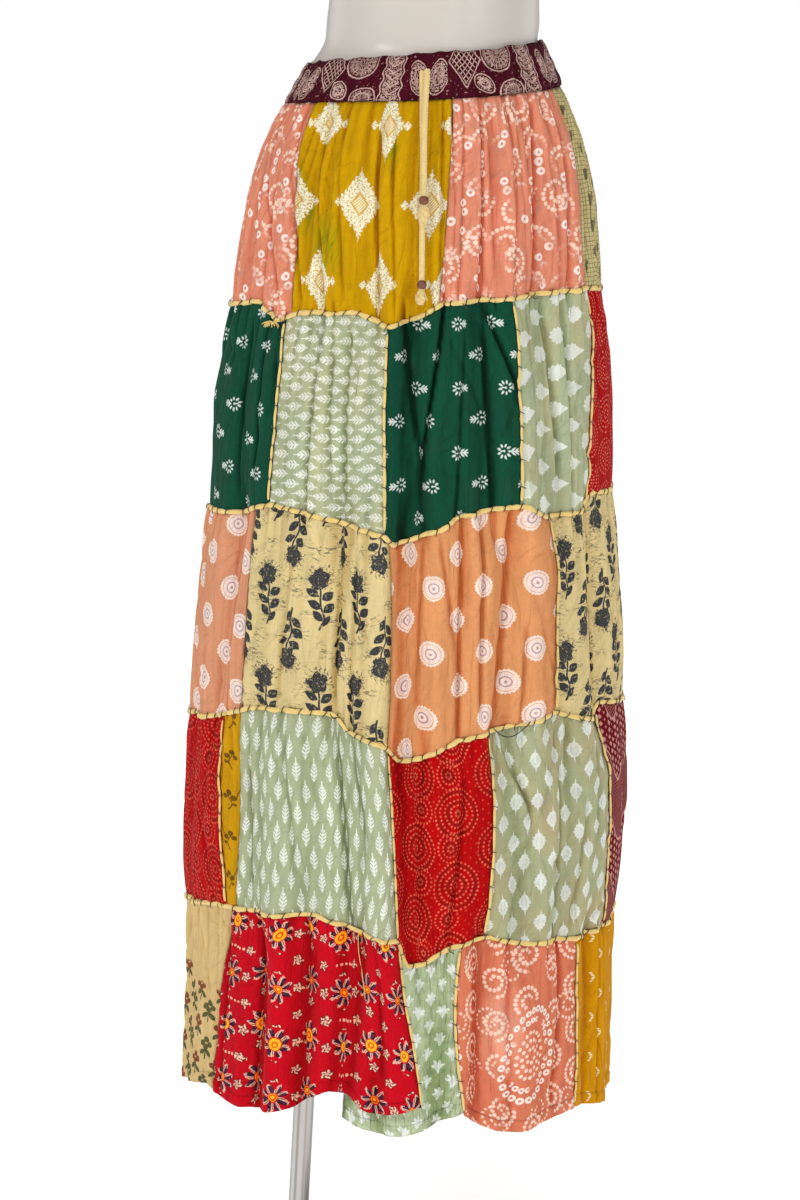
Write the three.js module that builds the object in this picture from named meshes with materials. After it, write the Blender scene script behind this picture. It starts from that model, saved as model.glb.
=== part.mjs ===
// A long patchwork skirt of printed cotton, worn by a limbless display form on a pole and a base plate.
// Millimetres, +Z up, the front towards -Y, the origin at the centre of the base plate's underside.
//
// A place on the skirt is an angle, in degrees from the front towards +X, and a height above the
// floor. The skirt is five tiers of patches. Each tier hangs between two seam lines, and a patch
// between two upright seams, whose angles are given at its tier's top and bottom.

import * as THREE from 'three';

const CLOTH = 1.2; // thickness of a patch
const BAND_CLOTH = 2; // thickness of the waistband, two layers of cotton
const SEAM_GAP = 0.3; // between two pieces that are sewn together
const HALF_SEAM = SEAM_GAP / 2;
const SEAM_ANGLE = 0.045; // half a seam gap, as an angle at the skirt's radius
const FRONT_STEP = 4.5; // degrees between two columns of facets, at the front and sides
const BACK_STEP = 9; // the same at the back
const FRONT_LIMIT = 117; // where the front's columns end
const TIER_ROWS = [0, 0.18, 0.55, 1]; // rows of facets down a tier
const FADE = 45; // length over which a fold starts and ends

const TRIM = { width: 6, thickness: 1.6, clearance: 1.3 }; // braid sewn over each tier seam
const FORM = { columns: 48, clearance: 1.2 };
const POLE = { radius: 10, sides: 16, foot: -126, lean: 50 / 900, bottom: 8.3, top: 899.7 };
const BASE = { radius: 170, thickness: 8, edge: 2 };
const FLANGE = { inner: 11, outer: 24, bottom: 8.3, top: 20 };
const SOCKET = { inner: 11, outer: 18, bottom: 878, top: 899.7 };
const CORD = { radius: 2.3, sides: 8, steps: 34 };
const BEAD = { radius: 4.5, height: 8.4 };

const table = (columns, rows) => rows.map(
  (row) => Object.fromEntries(columns.map((name, i) => [name, row[i]])));

// Level sections of the skirt: ellipses that widen from waist to hem and lean a little to the left.
const SECTIONS = table(['height', 'centre', 'halfWidth', 'halfDepth'], [
  [1240, 9, 95, 84], [1226, 8, 101, 88], [1204, 6.3, 112, 95], [1185, 5, 122.5, 101],
  [1167, 4, 132, 106], [1140, 2.6, 144.3, 114], [1110, 0.3, 154.2, 124], [1080, -0.5, 161, 131],
  [1020, -2.7, 168.5, 140], [985, -4, 172, 146], [960, -5, 178, 153], [900, -8, 186, 168],
  [800, -10, 189.5, 189], [765, -10.5, 194.5, 192], [680, -13.5, 202.4, 199], [600, -14, 207.5, 205],
  [560, -13.7, 210.7, 207], [500, -15.5, 212.5, 208], [440, -18.7, 210.3, 210],
  [400, -19.5, 206.5, 210], [340, -20.5, 207, 208], [200, -25.5, 208, 205],
]);

// Seam lines and edges, by their height at each angle all round.
const line = (rows) => table(['angle', 'height'], rows);
const LINES = {
  bandTop: line([[-180, 1211], [-90, 1204], [-45, 1212], [0, 1219], [45, 1224], [90, 1226], [180, 1211]]),
  bandSeam: line([[-180, 1176], [-90, 1167.5], [-45, 1174], [0, 1178], [45, 1182], [90, 1185], [180, 1176]]),
  seam12: line([
    [-180, 986], [-90, 981], [-60, 992], [-48, 978], [-40, 987], [-20, 990], [-9, 979], [0, 986],
    [7, 999], [47, 1004], [63, 1004], [90, 995], [180, 986]]),
  seam23: line([
    [-180, 798], [-90, 789], [-60, 799], [-43, 815], [-30, 811], [-15, 800], [-7, 799], [-5, 787],
    [7, 799], [14, 812], [32, 818], [40, 804], [60, 803], [63, 816], [90, 806], [180, 798]]),
  seam34: line([
    [-180, 600], [-90, 590], [-65, 604], [-43, 628], [-30, 632], [-20, 630], [-16, 615], [-6, 610],
    [-3, 590], [4, 592], [13, 609], [42, 624], [49, 615], [60, 606], [63, 619], [90, 602], [180, 600]]),
  seam45: line([
    [-180, 402], [-90, 405], [-57, 430], [-44, 436], [-22, 444], [-11, 429], [-1, 424], [1, 397],
    [6, 399], [14, 416], [23, 421], [33, 410], [61, 398], [90, 394], [180, 402]]),
  hem: line([
    [-180, 222], [-90, 221], [-60, 250], [-58, 245], [-46, 240], [-36, 246], [-29, 251], [-25, 262],
    [-20, 271], [-14, 271], [-11, 263], [-7, 256], [-3, 257], [6, 266], [8, 236], [17, 252], [21, 240],
    [27, 231], [34, 229], [41, 230], [54, 233], [75, 214], [90, 213], [180, 222]]),
  hemUnder: line([[-180, 243], [-16, 243], [-9, 237], [-2, 232], [8, 237], [17, 252], [180, 252]]),
};

// The largest folds. Each runs from its top to its bottom height, and its crest or trough stands
// proud of the section by its depth, falling to nothing at its half width on either side.
const FOLDS = table(['top', 'bottom', 'topAngle', 'bottomAngle', 'halfWidth', 'depth'], [
  // first tier
  [1130, 985, -18, -12, 7, -6], [1130, 985, 43, 39, 8, -7], [1130, 985, -45, -34, 7, -4],
  [1130, 985, 24, 20, 6, -4], [1130, 985, -30, -24, 6, 4], [1130, 985, 31, 29, 6, 4],
  [1130, 985, 85, 80, 9, -5], [1130, 985, 60, 55, 7, 4], [1130, 985, -80, -72, 9, 4],
  // second tier
  [960, 800, -22, -20, 7, -7], [985, 800, -8, -8, 6, 6], [985, 800, -3, 2, 6, -8],
  [985, 800, 18, 22, 7, -8], [960, 800, 40, 45, 7, -7], [960, 800, -62, -58, 8, -6],
  [960, 800, 30, 34, 6, 5],
  // third tier
  [800, 620, -20, -20, 7, -9], [800, 600, -9, -7, 6, 7], [800, 600, -1, 0, 7, -12],
  [800, 620, 14, 13, 6, -6], [790, 600, 28, 24, 6, -7], [790, 600, 61, 61, 7, -9],
  [790, 600, -58, -60, 7, -6], [790, 600, 36, 34, 7, 5],
  // fourth tier
  [610, 430, -18, -13, 6, -7], [610, 420, -8, -5, 6, 9], [600, 400, 0, 3, 7, -14],
  [600, 400, 26, 33, 7, -8], [590, 400, 45, 46, 7, -6], [600, 420, -34, -33, 8, 6],
  // fifth tier
  [400, 260, -39, -41, 6, -7], [400, 250, -25, -27, 7, -10], [400, 260, -13, -16, 7, -16],
  [400, 250, -3, 2, 8, 11], [410, 230, 9, 12, 7, -12], [410, 225, 21, 21, 6, -10],
  [400, 225, 34, 34, 9, 7], [400, 225, 60, 62, 7, -8], [420, 240, -33, -34, 6, 8],
  // back, all the way down
  [1130, 985, 112, 110, 11, -5], [1130, 985, 150, 146, 13, -6], [1130, 985, -150, -146, 13, -6],
  [1130, 985, -116, -114, 11, -5], [970, 600, 128, 126, 13, -9], [960, 600, 166, 168, 14, -10],
  [970, 600, -158, -162, 13, -8], [970, 600, -120, -124, 13, -9], [600, 225, 108, 110, 12, -10],
  [600, 225, 140, 142, 14, -12], [600, 225, 178, 180, 14, -12], [600, 225, -140, -144, 14, -11],
  [600, 225, -108, -110, 12, -9], [610, 225, -78, -80, 9, -6], [600, 225, 82, 84, 9, -7],
]);

// Patches, tier by tier. Each row gives the left edge, and the next row's is its right edge.
const PATCH_COLUMNS = ['name', 'topAngle', 'bottomAngle', 'colour'];
const TIERS = table(['upper', 'lower', 'patches'], [
  ['bandSeam', 'seam12', table(PATCH_COLUMNS, [
    ['t1_salmon_side', -112, -112, 0xeb876e], ['t1_mustard', -54, -43, 0xcda005],
    ['t1_salmon', 10, 6, 0xeb876e], ['t1_cream', 68, 64, 0xcdc38c],
    ['t1_back_mustard', 112, 112, 0xcda005], ['t1_back_salmon', 157, 157, 0xeb876e],
    ['t1_back_cream', 203, 203, 0xcdc38c]])],
  ['seam12', 'seam23', table(PATCH_COLUMNS, [
    ['t2_green_side', -115, -115, 0x19503c], ['t2_sage', -45, -44, 0xafbe8c],
    ['t2_green', -9, -7, 0x19503c], ['t2_sage_buta', 29, 31, 0xafbe8c],
    ['t2_red', 67, 61, 0xb4322d], ['t2_back_green', 108, 108, 0x19503c],
    ['t2_back_red', 152, 152, 0xb4322d], ['t2_back_sage', 200, 200, 0xafbe8c]])],
  ['seam23', 'seam34', table(PATCH_COLUMNS, [
    ['t3_peach_side', -118, -118, 0xeba073], ['t3_cream', -50, -48, 0xe1cd91],
    ['t3_peach', -6, -5, 0xe1965f], ['t3_cream_side', 43, 42, 0xe1cd91],
    ['t3_back_peach', 110, 110, 0xeba073], ['t3_back_cream', 155, 155, 0xe1cd91],
    ['t3_back_salmon', 200, 200, 0xeb876e]])],
  ['seam34', 'seam45', table(PATCH_COLUMNS, [
    ['t4_red_side', -115, -115, 0xbe0f14], ['t4_mustard_strip', -57, -52, 0xcd9b0a],
    ['t4_sage', -48, -48, 0xa5b487], ['t4_red_rings', -5, -1, 0xb41e19],
    ['t4_sage_buta', 22, 22, 0xa5aa7d], ['t4_maroon', 62, 69, 0x821923],
    ['t4_back_sage', 112, 112, 0xa5b487], ['t4_back_red', 156, 156, 0xbe0f14],
    ['t4_back_mustard', 201, 201, 0xcd9b0a]])],
  ['seam45', 'hem', table(PATCH_COLUMNS, [
    ['t5_cream', -116, -116, 0xdcbe82], ['t5_red_floral', -50, -58, 0xcd1428],
    ['t5_green', -1, 6, 0x91af73], ['t5_salmon', 15, 18, 0xeb7d5f],
    ['t5_mustard', 52, 54, 0xc88c00], ['t5_back_green', 114, 114, 0x91af73],
    ['t5_back_salmon', 158, 158, 0xeb7d5f], ['t5_back_red', 202, 202, 0xcd1428]])],
]);

// The green patch passes behind the red one like a knife fold: its left edge runs back under it by
// an angle, and lies further in, down the tier's rows.
const TUCK = { patch: 't5_green', width: 8, rows: table(['under', 'inset'], [[0, 0], [0, 3], [19, 8], [22, 11]]) };

// The display form's own sections, where no cloth lies on it, and how far inside the cloth it stays.
const FORM_TOP = table(['height', 'centre', 'halfWidth', 'halfDepth'], [
  [1334, 13, 62, 52], [1330, 13, 82, 71], [1318, 12.5, 95, 82], [1290, 11.5, 96, 83],
  [1262, 10.5, 96.5, 84], [1239, 9.4, 98, 85]]);
const FORM_UNDER = table(['height', 'inset'], [
  [1226, 0], [1204, 0], [1185, 0], [1167, 0], [1140, 8], [1110, 12], [1060, 16], [1010, 18],
  [965, 26], [932, 36], [912, 46], [903, 56], [900, 66]]);

// Routes of the two free ends of the drawstring, from the band's front down to the bead.
const SHORT_CORD = [
  [3.4, -99, 1205], [3.4, -102.5, 1200], [2.9, -105.5, 1192], [2.2, -109.5, 1182], [1.6, -114.5, 1170],
  [1.1, -119, 1157], [0.8, -123, 1144], [0.6, -127.3, 1131], [0.5, -131.5, 1118], [0.4, -135.5, 1105],
  [0.3, -139.7, 1096.5]];
const LONG_CORD = [
  [-0.9, -98.5, 1204], [-1, -99.7, 1199], [-1, -101.8, 1192], [-0.9, -105, 1182], [-0.8, -109.5, 1170],
  [-0.7, -114, 1157], [-0.6, -118, 1144], [-0.6, -122, 1131], [-0.7, -126, 1118], [-0.8, -130, 1105],
  [-0.9, -133.4, 1092], [-1, -136.3, 1079], [-1.1, -138.9, 1066], [-1.2, -141.1, 1053],
  [-1.3, -143.2, 1040], [-1.4, -144.9, 1031], [-1.5, -146.7, 1021.8]];

const group = new THREE.Group();

function add(name, geometry, colour, roughness = 0.85, metalness = 0) {
  const mesh = new THREE.Mesh(geometry, new THREE.MeshStandardMaterial({ color: colour, roughness, metalness }));
  mesh.name = name;
  group.add(mesh);
  return mesh;
}

const radians = (degrees) => degrees * Math.PI / 180;
const mix = (a, b, t) => a + (b - a) * t;
const clamp = (value) => Math.min(Math.max(value, 0), 1);

// Straight-line value of a table's column, where its key column rises or falls steadily.
function lookUp(rows, key, at, column) {
  const direction = Math.sign(rows[rows.length - 1][key] - rows[0][key]);
  const next = rows.findIndex((row) => direction * (row[key] - at) >= 0);
  if (next === 0) return rows[0][column];
  if (next === -1) return rows[rows.length - 1][column];
  const [before, after] = [rows[next - 1], rows[next]];
  return mix(before[column], after[column], (at - before[key]) / (after[key] - before[key]));
}

const wrap = (angle) => angle - 360 * Math.floor((angle + 180) / 360);

// How far the folds stand out of the section.
function foldDepth(angle, height) {
  let depth = 0;
  for (const fold of FOLDS) {
    const down = clamp((fold.top - height) / (fold.top - fold.bottom));
    const away = Math.abs(wrap(angle - mix(fold.topAngle, fold.bottomAngle, down))) / fold.halfWidth;
    const fade = clamp((fold.top + FADE - height) / FADE) * clamp((height - fold.bottom + FADE) / FADE);
    if (away < 1) depth += fold.depth * fade * (1 + Math.cos(Math.PI * away)) / 2;
  }
  return depth;
}

// A point of the skirt's outer face.
function surface(angle, height) {
  const [centre, halfWidth, halfDepth] = ['centre', 'halfWidth', 'halfDepth'].map(
    (column) => lookUp(SECTIONS, 'height', height, column));
  const depth = foldDepth(angle, height);
  return new THREE.Vector3(
    centre + (halfWidth + depth) * Math.sin(radians(angle)),
    -(halfDepth + depth) * Math.cos(radians(angle)),
    height);
}

// The same point moved along the surface's normal, outwards if out is positive.
function point(angle, height, out) {
  const across = surface(angle + 1, height).sub(surface(angle - 1, height));
  const down = surface(angle, height - 4).sub(surface(angle, height + 4));
  return surface(angle, height).addScaledVector(down.cross(across).normalize(), out);
}

// Columns of facets all round, shared by every piece, so that facets meet along the seams.
const backColumns = (360 - 2 * FRONT_LIMIT) / BACK_STEP;
const COLUMNS = [
  ...Array.from({ length: 2 * FRONT_LIMIT / FRONT_STEP + 1 }, (_, i) => i * FRONT_STEP - FRONT_LIMIT),
  ...Array.from({ length: backColumns - 1 }, (_, i) => FRONT_LIMIT + (i + 1) * BACK_STEP)];
const columnAngle = (i) => COLUMNS[i % COLUMNS.length] + 360 * Math.floor(i / COLUMNS.length);

// The column at or before an angle, and how far the angle is on the way to the next one.
function bracket(angle) {
  let i = 0;
  while (columnAngle(i + 1) <= angle) i += 1;
  return [i, (angle - columnAngle(i)) / (columnAngle(i + 1) - columnAngle(i))];
}

const lineAtColumn = (name, i) => lookUp(LINES[name], 'angle', wrap(columnAngle(i)), 'height');

function lineHeight(name, angle) {
  const [i, t] = bracket(angle);
  return mix(lineAtColumn(name, i), lineAtColumn(name, i + 1), t);
}

// A point of a seam line, on the straight facet edge between its two columns.
function seamPoint(name, angle, rise, out) {
  const [i, t] = bracket(angle);
  const [from, to] = [i, i + 1].map(
    (column) => point(columnAngle(column), lineAtColumn(name, column) + rise, out));
  return from.lerp(to, t);
}

// A closed wall between two grids of points, whose rows run down and whose columns run round.
function wall(outer, inner, closed = false) {
  const [rows, columns] = [outer.length, outer[0].length];
  const positions = [...outer, ...inner].flat().flatMap((p) => [p.x, p.y, p.z]);
  const at = (side, row, column) => (side * rows + row) * columns + column % columns;
  const faces = [];
  const quad = (a, b, c, d) => faces.push(a, b, c, a, c, d);
  const spans = closed ? columns : columns - 1;
  for (let column = 0; column < spans; column += 1) {
    const [i, k] = [column, column + 1];
    for (let row = 0; row < rows - 1; row += 1) {
      quad(at(0, row, i), at(0, row + 1, i), at(0, row + 1, k), at(0, row, k));
      quad(at(1, row, i), at(1, row, k), at(1, row + 1, k), at(1, row + 1, i));
    }
    quad(at(0, 0, i), at(0, 0, k), at(1, 0, k), at(1, 0, i));
    quad(at(0, rows - 1, i), at(1, rows - 1, i), at(1, rows - 1, k), at(0, rows - 1, k));
  }
  if (!closed) {
    const last = columns - 1;
    for (let row = 0; row < rows - 1; row += 1) {
      quad(at(0, row, 0), at(1, row, 0), at(1, row + 1, 0), at(0, row + 1, 0));
      quad(at(0, row, last), at(0, row + 1, last), at(1, row + 1, last), at(1, row, last));
    }
  }
  const geometry = new THREE.BufferGeometry();
  geometry.setAttribute('position', new THREE.Float32BufferAttribute(positions, 3));
  geometry.setIndex(faces);
  return geometry;
}

// Angles of the facet corners along one edge: its ends and the shared columns between them.
function edgeAngles(left, right) {
  const angles = [left];
  for (let i = 0; columnAngle(i) < right - 0.4; i += 1) {
    if (columnAngle(i) > left + 0.4) angles.push(columnAngle(i));
  }
  return [...angles, right];
}

// The same list with its widest gaps halved until it has a given length.
function subdivided(angles, length) {
  const list = [...angles];
  while (list.length < length) {
    const gaps = list.slice(1).map((angle, i) => angle - list[i]);
    const widest = gaps.indexOf(Math.max(...gaps));
    list.splice(widest + 1, 0, (list[widest] + list[widest + 1]) / 2);
  }
  return list;
}

// A patch between two seam lines and two upright seams.
function patch(upper, lower, top, bottom, tuck) {
  const edges = [top, bottom].map(([left, right]) => edgeAngles(left + SEAM_ANGLE, right - SEAM_ANGLE));
  const length = Math.max(...edges.map((edge) => edge.length));
  const [topAngles, bottomAngles] = edges.map((edge) => subdivided(edge, length));
  const grid = (depth) => TIER_ROWS.map((down, row) => topAngles.map((topAngle, i) => {
    const angle = mix(topAngle, bottomAngles[i], down);
    const out = -depth - (tuck ? tuck(row, down, angle) : 0);
    if (row === 0) return seamPoint(upper, angle, -HALF_SEAM, out);
    if (down === 1) return seamPoint(lower, angle, HALF_SEAM, out);
    return point(angle, mix(lineHeight(upper, angle), lineHeight(lower, angle), down), out);
  }));
  return wall(grid(0), grid(CLOTH));
}

// The patch that passes behind its left neighbour.
function tuckedPatch(upper, top, bottom) {
  const seam = (down) => mix(top[0], bottom[0], down);
  const inset = (row, down, angle) => TUCK.rows[row].inset * clamp(1 - (angle - seam(down)) / TUCK.width);
  const left = (row, down) => seam(down) - TUCK.rows[row].under + 2 * SEAM_ANGLE;
  const right = (down) => mix(top[1], bottom[1], down) - SEAM_ANGLE;
  const topAngles = edgeAngles(left(0, 0), right(0));
  const columns = subdivided(topAngles, edgeAngles(left(3, 1), right(1)).length);
  const grid = (depth) => TIER_ROWS.map((down, row) => columns.map((topAngle) => {
    const across = (topAngle - columns[0]) / (columns[columns.length - 1] - columns[0]);
    const angle = mix(left(row, down), right(down), across);
    const out = -depth - inset(row, down, angle);
    if (row === 0) return seamPoint(upper, angle, -HALF_SEAM, out);
    const bottomHeight = lineHeight('hemUnder', angle);
    const height = mix(lineHeight(upper, angle), bottomHeight, down);
    return point(angle, height, out);
  }));
  return wall(grid(0), grid(CLOTH));
}

function addPatches() {
  for (const { upper, lower, patches } of TIERS) {
    patches.forEach(({ name, topAngle, bottomAngle, colour }, i) => {
      const next = patches[(i + 1) % patches.length];
      const turn = i === patches.length - 1 ? 360 : 0;
      const top = [topAngle, next.topAngle + turn];
      const bottom = [bottomAngle, next.bottomAngle + turn];
      add(name, name === TUCK.patch ? tuckedPatch(upper, top, bottom) : patch(upper, lower, top, bottom), colour);
    });
  }
}

function addWaistband() {
  const rows = [0, 0.5, 1];
  const grid = (depth) => rows.map((down) => COLUMNS.map((angle, i) => {
    const height = mix(lineAtColumn('bandTop', i), lineAtColumn('bandSeam', i) + HALF_SEAM, down);
    return point(angle, height, -depth);
  }));
  add('waistband', wall(grid(0), grid(BAND_CLOTH), true), 0x5f1c2a);
}

function addTrims() {
  ['seam12', 'seam23', 'seam34', 'seam45'].forEach((name, tier) => {
    const grid = (out) => [1, -1].map((side) => COLUMNS.map(
      (angle, i) => point(angle, lineAtColumn(name, i) + side * TRIM.width / 2, out)));
    const geometry = wall(grid(TRIM.clearance + TRIM.thickness), grid(TRIM.clearance), true);
    add(`trim_${tier + 1}_${tier + 2}`, geometry, 0xebd282);
  });
}

// A closed solid through level rings, each a list of points, with a flat cap at both ends.
function rings(list) {
  const sides = list[0].length;
  const positions = list.flat().flatMap((p) => [p.x, p.y, p.z]);
  const faces = [];
  for (let ring = 0; ring < list.length - 1; ring += 1) {
    for (let i = 0; i < sides; i += 1) {
      const k = (i + 1) % sides;
      const [a, b, c, d] = [ring * sides + i, (ring + 1) * sides + i, (ring + 1) * sides + k, ring * sides + k];
      faces.push(a, b, c, a, c, d);
    }
  }
  const bottom = (list.length - 1) * sides;
  for (let i = 1; i < sides - 1; i += 1) faces.push(0, i, i + 1, bottom, bottom + i + 1, bottom + i);
  const geometry = new THREE.BufferGeometry();
  geometry.setAttribute('position', new THREE.Float32BufferAttribute(positions, 3));
  geometry.setIndex(faces);
  return geometry;
}

const ellipse = (centre, halfWidth, halfDepth, height, sides) => Array.from({ length: sides }, (_, i) => {
  const turn = 2 * Math.PI * i / sides;
  return new THREE.Vector3(centre + halfWidth * Math.sin(turn), -halfDepth * Math.cos(turn), height);
});

// The smooth limbless waist block. Under the band it lies just inside the cloth.
function addForm() {
  const above = FORM_TOP.map((s) => ellipse(s.centre, s.halfWidth, s.halfDepth, s.height, FORM.columns));
  const below = FORM_UNDER.map(({ height, inset }) => {
    const [centre, halfWidth, halfDepth] = ['centre', 'halfWidth', 'halfDepth'].map(
      (column) => lookUp(SECTIONS, 'height', height, column));
    const gap = BAND_CLOTH + FORM.clearance + inset;
    return ellipse(centre, halfWidth - gap, halfDepth - gap, height, FORM.columns);
  });
  add('display_form', rings([...above, ...below]), 0xcdc8bc, 0.3);
}

const poleCentre = (height) => POLE.foot + POLE.lean * height;

function collar({ inner, outer, bottom, top }) {
  const profile = [[inner, bottom], [outer, bottom], [outer, top - 2], [outer - 2, top], [inner, top], [inner, bottom]];
  const geometry = new THREE.LatheGeometry(profile.map(([r, z]) => new THREE.Vector2(r, z)), 24);
  geometry.rotateX(Math.PI / 2);
  geometry.translate(poleCentre((bottom + top) / 2), 0, 0);
  return geometry;
}

function addStand() {
  const { radius, thickness, edge } = BASE;
  const profile = [[0, 0], [radius - edge, 0], [radius, edge], [radius, thickness - edge], [radius - edge, thickness], [0, thickness]];
  const plate = new THREE.LatheGeometry(profile.map(([r, z]) => new THREE.Vector2(r, z)), 64);
  plate.rotateX(Math.PI / 2);
  add('base_plate', plate, 0xb4b2ae, 0.3, 0.9);
  const ends = [POLE.top, POLE.bottom].map(
    (height) => ellipse(poleCentre(height), POLE.radius, POLE.radius, height, POLE.sides));
  add('pole', rings(ends), 0xbcb9b4, 0.25, 0.9);
  add('pole_flange', collar(FLANGE), 0xb4b2ae, 0.3, 0.9);
  add('form_socket', collar(SOCKET), 0xb4b2ae, 0.3, 0.9);
}

function addCord(name, route) {
  const path = new THREE.CatmullRomCurve3(route.map((p) => new THREE.Vector3(...p)), false, 'centripetal');
  const section = new THREE.Shape();
  Array.from({ length: CORD.sides }, (_, i) => {
    const turn = 2 * Math.PI * i / CORD.sides;
    const corner = [CORD.radius * Math.cos(turn), CORD.radius * Math.sin(turn)];
    return i === 0 ? section.moveTo(...corner) : section.lineTo(...corner);
  });
  add(name, new THREE.ExtrudeGeometry(section, { steps: CORD.steps, extrudePath: path }), 0xe1cd91);
}

// A turned solid round an upright axis, from a profile of radius against height.
function turned(name, centre, profile, colour) {
  const geometry = new THREE.LatheGeometry(profile.map(([r, z]) => new THREE.Vector2(r, z)), 16);
  geometry.rotateX(Math.PI / 2);
  geometry.translate(...centre);
  add(name, geometry, colour, 0.5);
}

function beadProfile({ radius, height }) {
  const half = height / 2;
  return [[0, -half], [radius * 0.55, -half], [radius * 0.88, -half * 0.6], [radius, 0],
    [radius * 0.88, half * 0.6], [radius * 0.55, half], [0, half]];
}

const knotProfile = (radius, height) => [
  [0, -height], [radius * 0.6, -height * 0.96], [radius, -height * 0.6], [radius * 0.8, -height * 0.2],
  [radius * 0.4, 0], [0, 0]];

function addDrawstring() {
  addCord('cord_short', SHORT_CORD);
  addCord('cord_long', LONG_CORD);
  turned('bead_short', [0.3, -141, 1091.7], beadProfile(BEAD), 0x6e3c28);
  turned('knot_short', [0.3, -143.4, 1087.1], knotProfile(4.6, 16), 0xe1cd91);
  turned('bead_long', [-1.5, -148.3, 1017], beadProfile(BEAD), 0x6e3c28);
  turned('knot_long', [-2.4, -149.5, 1012.4], knotProfile(4.2, 14), 0xe6c3a5);
}

addWaistband();
addPatches();
addTrims();
addForm();
addStand();
addDrawstring();

export default group;
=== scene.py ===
"""A long patchwork skirt of printed cotton on a glossy limbless display form.

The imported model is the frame. A place on the skirt is an angle, in degrees from the front towards
+X, and a height above the floor, in millimetres. Every patch is a grid of such places on one
surface: smooth sections from waist to hem, the large folds, sharper creases, gathers that hang from
each seam, and soft wrinkles. Prints are worked out in each patch's own map, in millimetres of cloth.
"""
import math

import bpy
import numpy as np
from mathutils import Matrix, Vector


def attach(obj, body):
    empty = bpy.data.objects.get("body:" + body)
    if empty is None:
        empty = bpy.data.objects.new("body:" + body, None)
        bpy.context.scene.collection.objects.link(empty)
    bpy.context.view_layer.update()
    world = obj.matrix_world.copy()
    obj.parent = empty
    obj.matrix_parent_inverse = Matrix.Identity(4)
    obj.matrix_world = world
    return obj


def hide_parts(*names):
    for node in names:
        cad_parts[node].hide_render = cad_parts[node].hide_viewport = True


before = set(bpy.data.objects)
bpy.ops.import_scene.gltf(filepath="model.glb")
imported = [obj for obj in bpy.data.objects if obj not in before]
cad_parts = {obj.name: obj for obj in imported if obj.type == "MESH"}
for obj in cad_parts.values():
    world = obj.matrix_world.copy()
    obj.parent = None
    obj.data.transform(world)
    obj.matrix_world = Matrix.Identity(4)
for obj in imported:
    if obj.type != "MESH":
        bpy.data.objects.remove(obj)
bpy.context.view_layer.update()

MM = 0.001
ROOT = "root"
TAU = 2 * math.pi

# ---------------------------------------------------------------- camera

EYE = (-21, -3400, 1420)
LOOK_DOWN = 12  # degrees below the horizon
FOCAL_PIXELS, FRAME_PIXELS, SENSOR = 3650, 1200, 36


def make_camera():
    """The camera stands in front and looks down, with no roll."""
    data = bpy.data.cameras.new("camera")
    data.sensor_width = SENSOR
    data.lens = FOCAL_PIXELS / FRAME_PIXELS * SENSOR
    camera = bpy.data.objects.new("camera", data)
    camera.location = [c * MM for c in EYE]
    camera.rotation_euler = (math.radians(90 - LOOK_DOWN), 0, 0)
    bpy.context.scene.collection.objects.link(camera)
    bpy.context.scene.camera = camera


make_camera()

# ---------------------------------------------------------------- the skirt's sizes

CLOTH = 1.0  # thickness of a patch
BAND_CLOTH = 2.0
HALF_SEAM = 0.15  # millimetres from a patch's edge to the tier seam
FADE = 45  # length over which a large fold starts and ends
CREASE_FADE, CREASE_POWER, CREASE_DEEPER = 22, 1.7, 1.7
FIRST_TIER = 960  # above this height the cloth is gathered all the way down
TAKEN = 2.2  # millimetres of cloth that a crease takes in, for each of its depth
TAKEN_FADE, TAKEN_REACH = 60, 60  # millimetres past a crease's ends, degrees from a patch's middle
PRINT_PULL = 0.8  # share of a gather's slope that pulls the print together
UPRIGHT_SHARE = 0.7  # share of that pull that is the same all down a patch
SEAM_ANGLE = 0.045  # degrees from a patch's edge to the upright seam
HEM_DEPTH = 11  # turned-up hem
FAR = 90.0  # further from a seam than any seam's pull reaches
FORM_HIDES = 1165  # below this height the display form draws in, away from the cloth

# Height, centre, half width and half depth of the level sections.
SECTIONS = np.array([
    (1240, 9, 95, 84), (1226, 8, 101, 88), (1204, 6.3, 112, 95), (1185, 5, 122.5, 101),
    (1167, 4, 132, 106), (1140, 2.6, 144.3, 114), (1110, 0.3, 154.2, 124), (1080, -0.5, 161, 131),
    (1020, -2.7, 168.5, 140), (985, -4, 172, 146), (960, -5, 178, 153), (900, -8, 186, 168),
    (800, -10, 189.5, 189), (765, -10.5, 194.5, 192), (680, -13.5, 202.4, 199), (600, -14, 207.5, 205),
    (560, -13.7, 210.7, 207), (500, -15.5, 212.5, 208), (440, -18.7, 210.3, 210),
    (400, -19.5, 206.5, 210), (340, -20.5, 207, 208), (200, -25.5, 208, 205)])

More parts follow.
